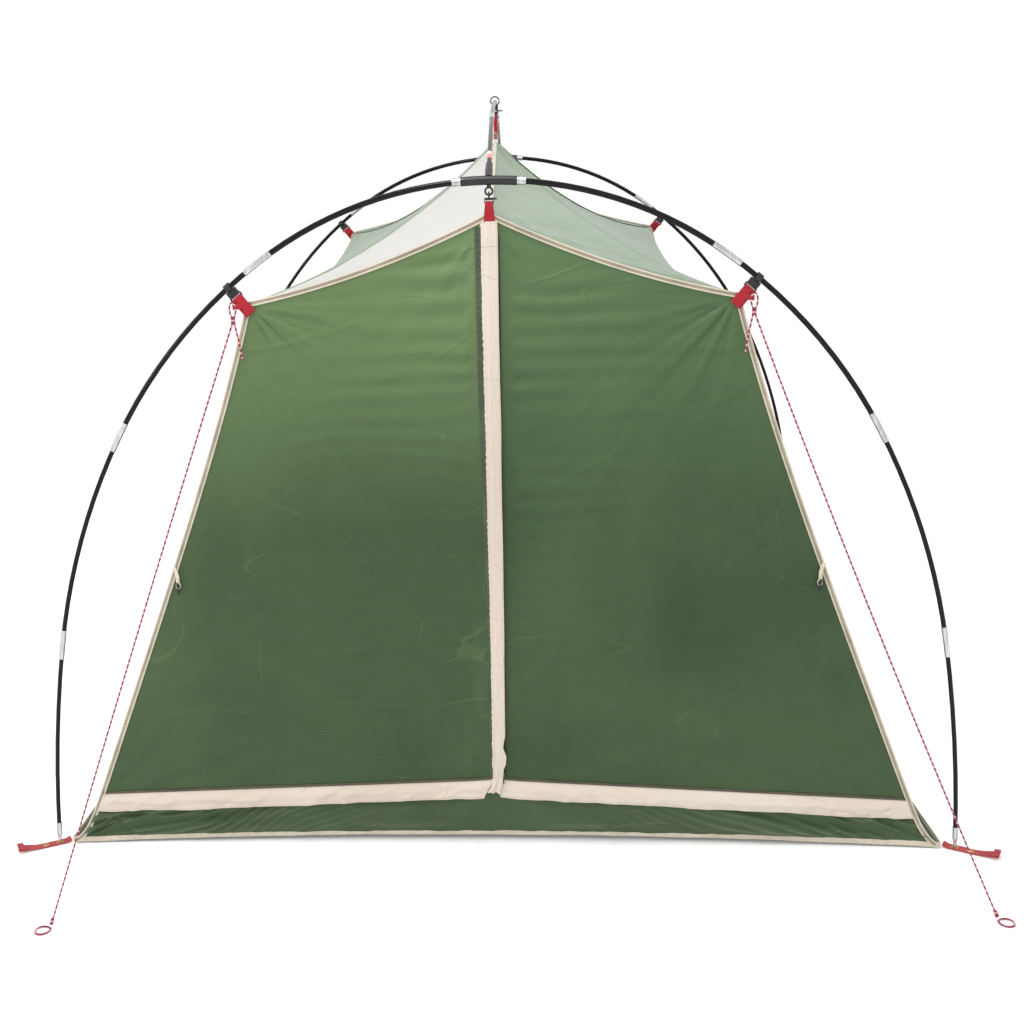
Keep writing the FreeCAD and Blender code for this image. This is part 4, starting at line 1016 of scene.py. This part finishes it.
FLAP_SHAPE = (                        # height, left edge, right edge, stand-off factor, from the top down
    (FLAP_TOP_Z, -0.0208, 0.0168, 0.6), (1.472, -0.0206, 0.0174, 1.0), (1.38, -0.0200, 0.0182, 1.0),
    (0.95, -0.0165, 0.0200, 1.0), (0.55, -0.0128, 0.0212, 1.0), (0.300, -0.0122, 0.0205, 1.0),
    (0.268, -0.0122, 0.0160, 1.1), (0.243, -0.0122, 0.0232, 1.3), (0.226, -0.0120, 0.0222, 1.2),
    (0.206, -0.0118, 0.0160, 1.0), (0.182, -0.0122, 0.0142, 1.0), (0.164, -0.0230, 0.0125, 1.1),
    (FLAP_END_Z, -0.0350, 0.0090, 1.2),
)


def eased(z, knots, column):
    """Values that run smoothly from knot to knot down a height, level at each knot."""
    value = np.full_like(z, knots[0][column])
    for upper, lower in zip(knots, knots[1:]):
        value = value + (lower[column] - upper[column]) * (1 - rise(z, lower[0], upper[0]))
    return value


def make_storm_flap():
    """The cream flap over the upright zip: sewn down its left edge, gathered into a small fan at its foot."""
    z = np.linspace(FLAP_TOP_Z, FLAP_END_Z, 640)[:, None]
    t = np.linspace(0, 1, 25)[None]
    left, right, stand = (eased(z, FLAP_SHAPE, column) for column in (1, 2, 3))
    wave = 0.0009 * lattice_noise(z * np.ones_like(t), 3 * t * np.ones_like(z), 0.10, 401)
    x = left + (right - left) * t + wave * t
    fan = 1 - rise(z, 0.155, 0.205)
    pleats = 0.0022 * fan * np.cos(t * 15) + 0.0010 * (1 - rise(z, 0.24, 0.30)) * np.sin(t * 9 + z * 120)
    height = -WALL_Y - FLAP_FACE_Y
    out = height * stand * rise(t, 0.0, 0.42) * (1 - 0.06 * rise(t, 0.55, 1.0)) + pleats
    ripple = 0.0008 * lattice_noise(z * np.ones_like(t), t * np.ones_like(z), 0.035, 402)
    pucker = 0.0006 * np.sin(z / 0.0028) * np.exp(-t / 0.12)
    y = -WALL_Y - 0.0009 - np.maximum(out, 0.0) - (ripple + pucker) * rise(t, 0, 0.08)
    end = 1 - rise(z, 0.15, 0.17)
    zz = z + 0 * t + end * 0.0022 * np.sin(t * 19)
    points = np.stack([x, y, zz], 2)[::-1]
    flap = grid_cloth("storm_flap_cloth", points, FLAP_TAPE, "cream_tape", 0.0012)
    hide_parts("storm_flap")
    fold_to_door(flap)
    edge = np.stack([x[:, 0], y[:, 0] - 0.0006, z[:, 0]], 1)
    free = np.stack([x[:, -2], y[:, -2] - 0.0006, z[:, 0]], 1)
    rows = [stitches(edge, (1, 0, 0), 0.0024, lift=-0.0004),
            stitches(free[:560], (1, 0, 0), -0.0008, lift=-0.0004)]     # not into the fan at the foot
    sewn = new_object("storm_flap_stitches", *join(rows), CREAM_THREAD, "cream_tape")
    fold_to_door(sewn)


def make_zip_band():
    """The darker stitched band beside the storm flap, drawn up in small ladder-like puckers."""
    z = np.linspace(FLAP_TOP_Z - 0.012, 0.178, 900)[:, None]
    t = np.linspace(0, 1, 9)[None]
    left = eased(z, FLAP_SHAPE, 1)
    wide = 0.0045 + 0.0075 * rise(z, 0.45, 1.25)
    x = left - wide + (wide + 0.0015) * t + 0.0005 * lattice_noise(z, 0 * z, 0.05, 411)
    rungs = np.sin(z / 0.0021 + lattice_noise(z, 0 * z, 0.06, 412))
    out = 0.0006 + 0.0007 * rungs * np.sin(math.pi * t) ** 0.5
    y = -WALL_Y - 0.0013 - np.abs(zip_puckers(-x, z, 19)) - out * np.sin(math.pi * (0.1 + 0.8 * t))
    points = np.stack([x, y, z + 0 * t], 2)[::-1]
    strip = grid_cloth("zip_band_cloth", points, BAND_TAPE, "dark_green_cloth", 0.0006)
    fold_to_door(strip)
    line = np.stack([x[:, 0], y[:, 0] - 0.0004, z[:, 0]], 1)
    middle = np.stack([x[:, 4], y[:, 4] - 0.0006, z[:, 0]], 1)
    rows = [stitches(line, (1, 0, 0), 0.0012, lift=-0.0006),
            stitches(middle[middle[:, 2] > 0.75], (1, 0, 0), 0.0, 0.0046, 0.0030, 0.0006, slant=1.9)]
    sewn = new_object("zip_band_stitches", *join(rows), DARK_SEAM, "dark_green_cloth")
    fold_to_door(sewn)


def make_rain_flap(word, side):
    """The cream flap over the bottom zip, sewn along its top edge, its lower edge loose and wavy."""
    near = 0.0100 if side < 0 else -0.0015
    run = np.linspace(0, 1, 420)[None]
    t = np.linspace(0, 1, 15)[:, None]
    far = seam_x(0.132 - 0.047 * t) - 0.004
    x = near + (far - near) * run + (0.024 if side < 0 else 0.009) * (1 - run) ** 60 * t
    top = 0.1772 - (0.041 if side < 0 else 0.050) * x / DOOR_CORNER_X + 0.003 * np.exp(-x / 0.03)
    fall = 0.0440 + 0.0030 * x / DOOR_CORNER_X
    seed = 430 + side
    loose = 0.0022 * lattice_noise(x, 0 * x, 0.10, seed) + 0.0013 * lattice_noise(x, 0 * x, 0.035, seed + 2)
    z = top - fall * t + loose * t
    height = -RAIN_FLAP_Y - WALL_Y
    slow = lattice_noise(x, 0.6 * t + 0 * x, 0.11, seed + 4)
    folds = 0.0030 * slow + 0.0034 * lattice_noise(x + 1.4 * z, t * 0.05, 0.030, seed + 6)
    folds += 1.6 * creases(x, z, ((0.0, 0.09), (0.95, 0.19)), 50, seed + 10)
    ends = corner_folds(x, z, (0.98, 0.12), 17, 0.16, 0.0034, seed + 8, toward=math.pi, spread=0.6)
    out = height * rise(t, 0.0, 0.55) + np.maximum(folds + ends, -0.0008) * rise(t, 0.02, 0.4)
    pinned = rise(far - x, 0.0, 0.05)
    y = -WALL_Y - 0.0012 - np.maximum(out, 0.0004) * (0.35 + 0.65 * pinned)
    points = mirrored(np.stack([x, y, z], 2), side)
    if side > 0:
        points = points[:, ::-1]
    flap = grid_cloth("rain_flap_cloth_" + word, points, FLAP_TAPE, "cream_tape", 0.0011)
    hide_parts("rain_flap_" + word)
    fold_to_door(flap)
    line = mirrored(np.stack([x[0], y[0] - 0.0003, z[0]], 1), side)
    low = mirrored(np.stack([x[-2], y[-2] - 0.0005, z[-2]], 1), side)
    rows = [stitches(line, (0, 0, -1), 0.0022, lift=0.0005 * side),
            stitches(low, (0, 0, 1), 0.0018, lift=-0.0003 * side)]
    sewn = new_object("rain_flap_stitches_" + word, *join(rows), CREAM_THREAD, "cream_tape")
    fold_to_door(sewn)
    # A dark band laid along the flap's top edge.
    above = np.stack([x[0], np.full_like(x[0], -WALL_Y - 0.0022), z[0] + 0.0026], 1)
    dark_band = band("rain_flap_dark_band_" + word, mirrored(above, side), (0, 0, 1), flat_outline(0.0060, 0.0012),
               DARK_SEAM, "dark_green_cloth")
    fold_to_door(dark_band)


# ---- webbing ---------------------------------------------------------------------------
OUTWARDS = np.array((0.0, -1.0, 0.0))             # away from the front wall
WEBBING_THICK = 0.0015
SEWN_BOX = {"pitch": 0.0030, "length": 0.0022, "thick": 0.0004}     # the thread of the sewn boxes
CORNER_ROUTE = (                      # from the roof's sewn layer round the clip's bar: inwards, outwards
    (0.047, -0.0024), (0.038, -0.0036), (0.0320, -0.0048), (0.0283, -0.0046), (0.0262, -0.0024),
    (0.0260, 0.0010), (0.0280, 0.0046), (0.0325, 0.0058), (0.050, 0.0060), (0.0760, 0.0054),
)


def widening_band(points, facing, width, more, start, end, crown):
    """A smooth strap that widens between two shares of its length, and its middle line."""
    path = smooth_path(points, 60)
    widths = width + more * rise(np.linspace(0, 1, 60), start, end)
    outline = np.stack([flat_outline(wide, WEBBING_THICK, 8, crown) for wide in widths])
    return band_mesh(path, facing, outline), path


def make_corner_webbing(end_word, end, word, side):
    """Red webbing sewn to a roof corner, turned round the bar of the shoulder clip, with its sewn boxes."""
    centre = np.array((CLIP_CENTRE.x, -WALL_Y, CLIP_CENTRE.z))
    inward = np.array(CLIP_INWARD)
    facing = np.cross(inward, OUTWARDS)
    route = [centre + inward * a + OUTWARDS * b for a, b in CORNER_ROUTE]
    strap, path = widening_band(route, facing, 0.0240, 0.0034, 0.6, 1.0, 0.0003)
    name = f"corner_webbing_{end_word}_{word}"
    piece = mirrored_piece(name, strap, side, end, RED_TAPE, "red_webbing")
    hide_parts("webbing_tabs")
    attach(piece, "root")
    rows = stitch_pair(path[40:59], facing, -0.0105, pitch=0.0034, length=0.0024, thick=0.0004, lift=0.0010)
    for place in (42, 46, 57):
        across = path[place] + facing * np.linspace(-0.0108, 0.0108, 12)[:, None]
        rows.append(stitches(across, inward, 0.0, lift=-0.0011, **SEWN_BOX))
    sewn = mirrored_piece(name + "_stitches", join(rows), side, end, DARK_THREAD, "red_webbing")
    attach(sewn, "root")


def make_guy_webbing(word, side):
    """The short red loop under a front corner's webbing that the guy line is tied to."""
    top = np.array((0.5545, -WALL_Y - 0.0068, 1.3335))
    low = np.array(GUY_ROUTES["right"][0]) + (-0.001, 0.0035, 0.030)
    way = (low - top) / np.linalg.norm(low - top)
    route = [top - way * 0.006, top + way * 0.004 + OUTWARDS * 0.0010, low - way * 0.006 + OUTWARDS * 0.0026,
             low + OUTWARDS * 0.0012, low - OUTWARDS * 0.0016, low - way * 0.006 - OUTWARDS * 0.0026,
             top + way * 0.010 - OUTWARDS * 0.0008]
    strap = band_mesh(smooth_path(route, 40), np.cross(way, OUTWARDS), flat_outline(0.0115, 0.0012, 6, 0.0))
    piece = mirrored_piece("guy_webbing_" + word, strap, side, 1, RED_TAPE, "red_webbing")
    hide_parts("webbing_tabs")
    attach(piece, "root")


def make_apex_webbing(end_word, end):
    """Red webbing from the hub's hook down over the roof's end edge."""
    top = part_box("apex_hooks")[0].z + 0.0050
    route = [(-0.0040, APEX_Z + 0.004), (-0.0046, top - 0.008), (-0.0034, top - 0.001), (0.0, top + 0.0008),
             (0.0034, top - 0.001), (0.0052, top - 0.009), (0.0056, APEX_Z + 0.006), (0.0050, APEX_Z - 0.004),
             (0.0062, APEX_Z - 0.013)]
    route = [np.array((0, -WALL_Y, z)) + OUTWARDS * a for a, z in route]
    strap, path = widening_band(route, (1, 0, 0), 0.0150, 0.0080, 0.45, 0.85, 0.0004)
    piece = mirrored_piece("apex_webbing_" + end_word, strap, 1, end, RED_TAPE, "red_webbing")
    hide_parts("webbing_tabs")
    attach(piece, "root")
    rows = []
    for place in (47, 57):
        across = path[place] + np.array((1.0, 0, 0)) * np.linspace(-0.0105, 0.0105, 12)[:, None]
        rows.append(stitches(across, (0, 0, 1), 0.0, 0.0028, 0.0022, 0.0005, lift=0.0013))
    sewn = mirrored_piece("apex_stitches_" + end_word, join(rows), 1, end, DARK_THREAD, "red_webbing")
    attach(sewn, "root")


def make_peak_strap():
    """The strap from the ridge clip to the roof's peak, red over black, with the peak's cream loops."""
    low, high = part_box("peak_strap")
    middle = np.array(((low.x + high.x) / 2, (low.y + high.y) / 2, 0))
    for name, y, finish, slot in (("peak_strap_red", -0.0030, RED_TAPE, "red_webbing"),
                                  ("peak_strap_black", 0.0032, NODE_FINISHES["shock_cord"], "shock_cord")):
        route = [(0.0, high.z - 0.001, y * 0.4), (0.0005, high.z - 0.02, y), (0.0012, low.z + 0.03, y),
                 (0.0, low.z + 0.002, y * 0.6)]
        path = smooth_path([middle + np.array((a, c, b)) for a, b, c in route], 30)
        piece = band(name, path, (1, 0, 0), flat_outline(0.0105, 0.0012, 6, 0.0003), finish, slot)
        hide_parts("peak_strap")
        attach(piece, "root")
    loops = []
    for lean in (-1, 1):
        route = [(lean * 0.006, 0, PEAK_Z - 0.006), (lean * 0.007, 0.001, PEAK_Z + 0.012),
                 (lean * 0.003, 0, PEAK_Z + 0.026), (-lean * 0.002, -0.001, PEAK_Z + 0.018),
                 (-lean * 0.002, 0, PEAK_Z - 0.004)]
        loops.append(band_mesh(smooth_path(route, 30), (0, 1, 0), flat_outline(0.0095, 0.0012)))
    piece = new_object("peak_loops", *join(loops), CREAM_TAPE, "cream_tape")
    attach(piece, "root")


EYELET_HOLE = 0.0058                  # radius of the holes under the brass eyelets


def foot_lips(foot, way, across):
    """The two raised folds of the sewn loop at a foot strap's outer end."""
    lips = []
    for i, (start, width) in enumerate(((FOOT_END - 0.010, 0.034), (FOOT_END - 0.004, 0.030))):
        bar = foot + way * start + across * np.linspace(-width / 2, width / 2, 24)[:, None]
        bar[:, 2] = 0.0105 + 0.0018 * i + 0.0012 * np.sin(np.linspace(-2, 2, 24))
        lips.append(band_mesh(bar, way, flat_outline(0.010, 0.0022, 6, 0.0012)))
    return lips


def make_foot_webbing(end_word, end, word, side):
    """The red ground strap at a pole's foot: holes under its two brass eyelets and a sewn loop at its end."""
    way = np.array((math.cos(FOOT_ANGLE), -math.sin(FOOT_ANGLE), 0.0))
    across = np.array((math.sin(FOOT_ANGLE), math.cos(FOOT_ANGLE), 0.0))
    foot = np.array((FOOT_X, -WALL_Y, 0.0))
    rows, columns = 27, 131
    run = np.linspace(-FOOT_START, FOOT_END, columns)[None]
    t = np.linspace(-0.5, 0.5, rows)[:, None]
    near = np.minimum(np.hypot(run, t * FOOT_WIDE), np.hypot(run - PEG_HOLE, t * FOOT_WIDE))
    beyond = rise(run, PEG_HOLE + 0.012, FOOT_END)
    ripple = 0.0007 * (1 + lattice_noise(run, 0 * run, 0.02, 501 + side + 2 * end))
    lift = 0.0013 + rise(near, 0.009, 0.022) * (ripple + 0.0065 * beyond + 0.0035 * beyond * t)
    lift = lift + 0.0045 * rise(-run, 0.014, FOOT_START)
    points = foot + way * run[..., None] + across * (t * FOOT_WIDE)[..., None]
    points[..., 2] += lift
    faces = grid_faces(rows, columns)
    open_faces = faces[near.ravel()[faces].mean(1) > EYELET_HOLE]
    strap = join([cloth_shell(points, open_faces, 0.0013), *foot_lips(foot, way, across)])
    name = f"foot_strap_{end_word}_{word}"
    piece = mirrored_piece(name, strap, side, end, RED_TAPE, "red_webbing")
    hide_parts("foot_webbing")
    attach(piece, "root")
    top = points + np.array((0, 0, 0.0007))
    threads = []
    for place in (-0.018, 0.016, 0.052, 0.078):
        column = int((place + FOOT_START) / (FOOT_START + FOOT_END) * (columns - 1))
        threads.append(stitches(top[2:-2, column], way, 0.0, 0.0030, 0.0023, 0.0004, lift=-0.0002))
    for row in (2, rows - 3):
        threads.append(stitches(top[row, 84:126], across, 0.0, 0.0034, 0.0025, 0.0004, 0.0002))
    sewn = mirrored_piece(name + "_stitches", join(threads), side, end, DARK_THREAD, "red_webbing")
    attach(sewn, "root")


def make_ridge_band():
    """The printed sleeve at the front end of the ridge pole: a white ring and a pink-red one."""
    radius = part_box("ridge_poles")[1].x + 0.0004
    reach = (RIDGE_REACH ** 2 + RIDGE_RISE ** 2) / (2 * RIDGE_RISE)     # the pole's radius of bend
    for name, start, end, finish in (("ridge_band_white", -0.905, -0.885, CREAM_TAPE),
                                     ("ridge_band_red", -0.930, -0.905, PINK_PRINT)):
        y = np.linspace(start, end, 14)
        z = RIDGE_APEX - reach + np.sqrt(reach ** 2 - y ** 2)
        path = np.stack([0 * y, y, z], 1)
        piece = band(name, path, (1, 0, 0), round_outline(radius, 20), finish, "pole_fibre")
        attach(piece, "root")


def make_ties():
    """Cream tie tapes on the side seams; each loop holds its black toggle."""
    low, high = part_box("tie_tape_right")
    out_y = (low.y + high.y) / 2
    route = [(high.x + 0.002, out_y + 0.0035, high.z + 0.003), (high.x - 0.002, out_y, high.z - 0.004),
             (high.x - 0.006, out_y - 0.001, low.z + 0.016), (low.x + 0.006, out_y, low.z + 0.002),
             (low.x + 0.0050, out_y + 0.0008, low.z - 0.006)]
    strap = band_mesh(smooth_path(route, 40), (0.9, 0, 0.35), flat_outline(0.0085, 0.0012, 6, 0.0004))
    ring = smooth_path([(low.x + 0.0050 + 0.0052 * math.sin(a), out_y, low.z - 0.0085 + 0.0068 * math.cos(a))
                        for a in np.linspace(0, 2 * math.pi, 9)], 40)
    loop = band_mesh(ring, (0, 1, 0), flat_outline(0.0060, 0.0011))
    for word, side in SIDES:
        piece = mirrored_piece("tie_tape_strap_" + word, join([strap, loop]), side, 1, CREAM_TAPE,
                               "cream_tape")
        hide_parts("tie_tape_" + word)
        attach(piece, "tie_" + word)


# ---- studio ----------------------------------------------------------------------------
def area_light(name, spot, target, size, power):
    data = bpy.data.lights.new(name, "AREA")
    data.shape = "RECTANGLE"
    data.size, data.size_y = size
    data.energy = power
    light = bpy.data.objects.new(name, data)
    light.location = spot
    light.rotation_euler = (Vector(target) - Vector(spot)).to_track_quat("-Z", "Y").to_euler()
    bpy.context.scene.collection.objects.link(light)


def make_studio():
    """White surroundings, a white ground and two soft lamps."""
    world = bpy.data.worlds.new("studio")
    world.use_nodes = True
    back = world.node_tree.nodes["Background"]
    back.inputs["Color"].default_value = (1.0, 1.0, 1.0, 1.0)
    back.inputs["Strength"].default_value = 1.0
    bpy.context.scene.world = world
    bpy.context.scene.view_settings.view_transform = "Standard"
    f = Finish("studio_floor_finish", roughness=0.9, specular_ior_level=0.1, emission_strength=0.10,
               emission_color=(1.0, 1.0, 1.0, 1.0))
    whites = (0.93, 0.93, 0.93, 1.0), (0.95, 0.95, 0.95, 1.0)
    f.set("Base Color", f.mix(f.ramp(f.noise(3.0, 2.0), 0.3, 0.7), *whites))
    corners = [(x * 30.0, y * 30.0, -0.0008) for x, y in ((-1, -1), (1, -1), (1, 1), (-1, 1))]
    floor = new_object("studio_floor", corners, [(0, 1, 2, 3)], f.material, None)
    area_light("side_light", (-4.6, -2.7, 2.9), (0, -1.0, 0.8), (1.3, 1.3), 55)
    area_light("top_light", (-0.5, -2.3, 4.9), (0, -1.0, 0.9), (1.2, 1.2), 100)


make_camera()
finish_nodes()
make_guys()
for word, side in SIDES:
    front_cloth(word, side)
    side_cloth(word, side)
    make_rain_flap(word, side)
    make_guy_webbing(word, side)
    for end_word, end in ENDS:
        make_corner_webbing(end_word, end, word, side)
        make_foot_webbing(end_word, end, word, side)
front_sill()
rear_cloth()
make_roof()
ground_cloth()
make_piping()
make_roof_seams()
make_hem()
make_storm_flap()
make_zip_band()
for end_word, end in ENDS:
    make_apex_webbing(end_word, end)
make_peak_strap()
make_ridge_band()
make_ties()
make_studio()
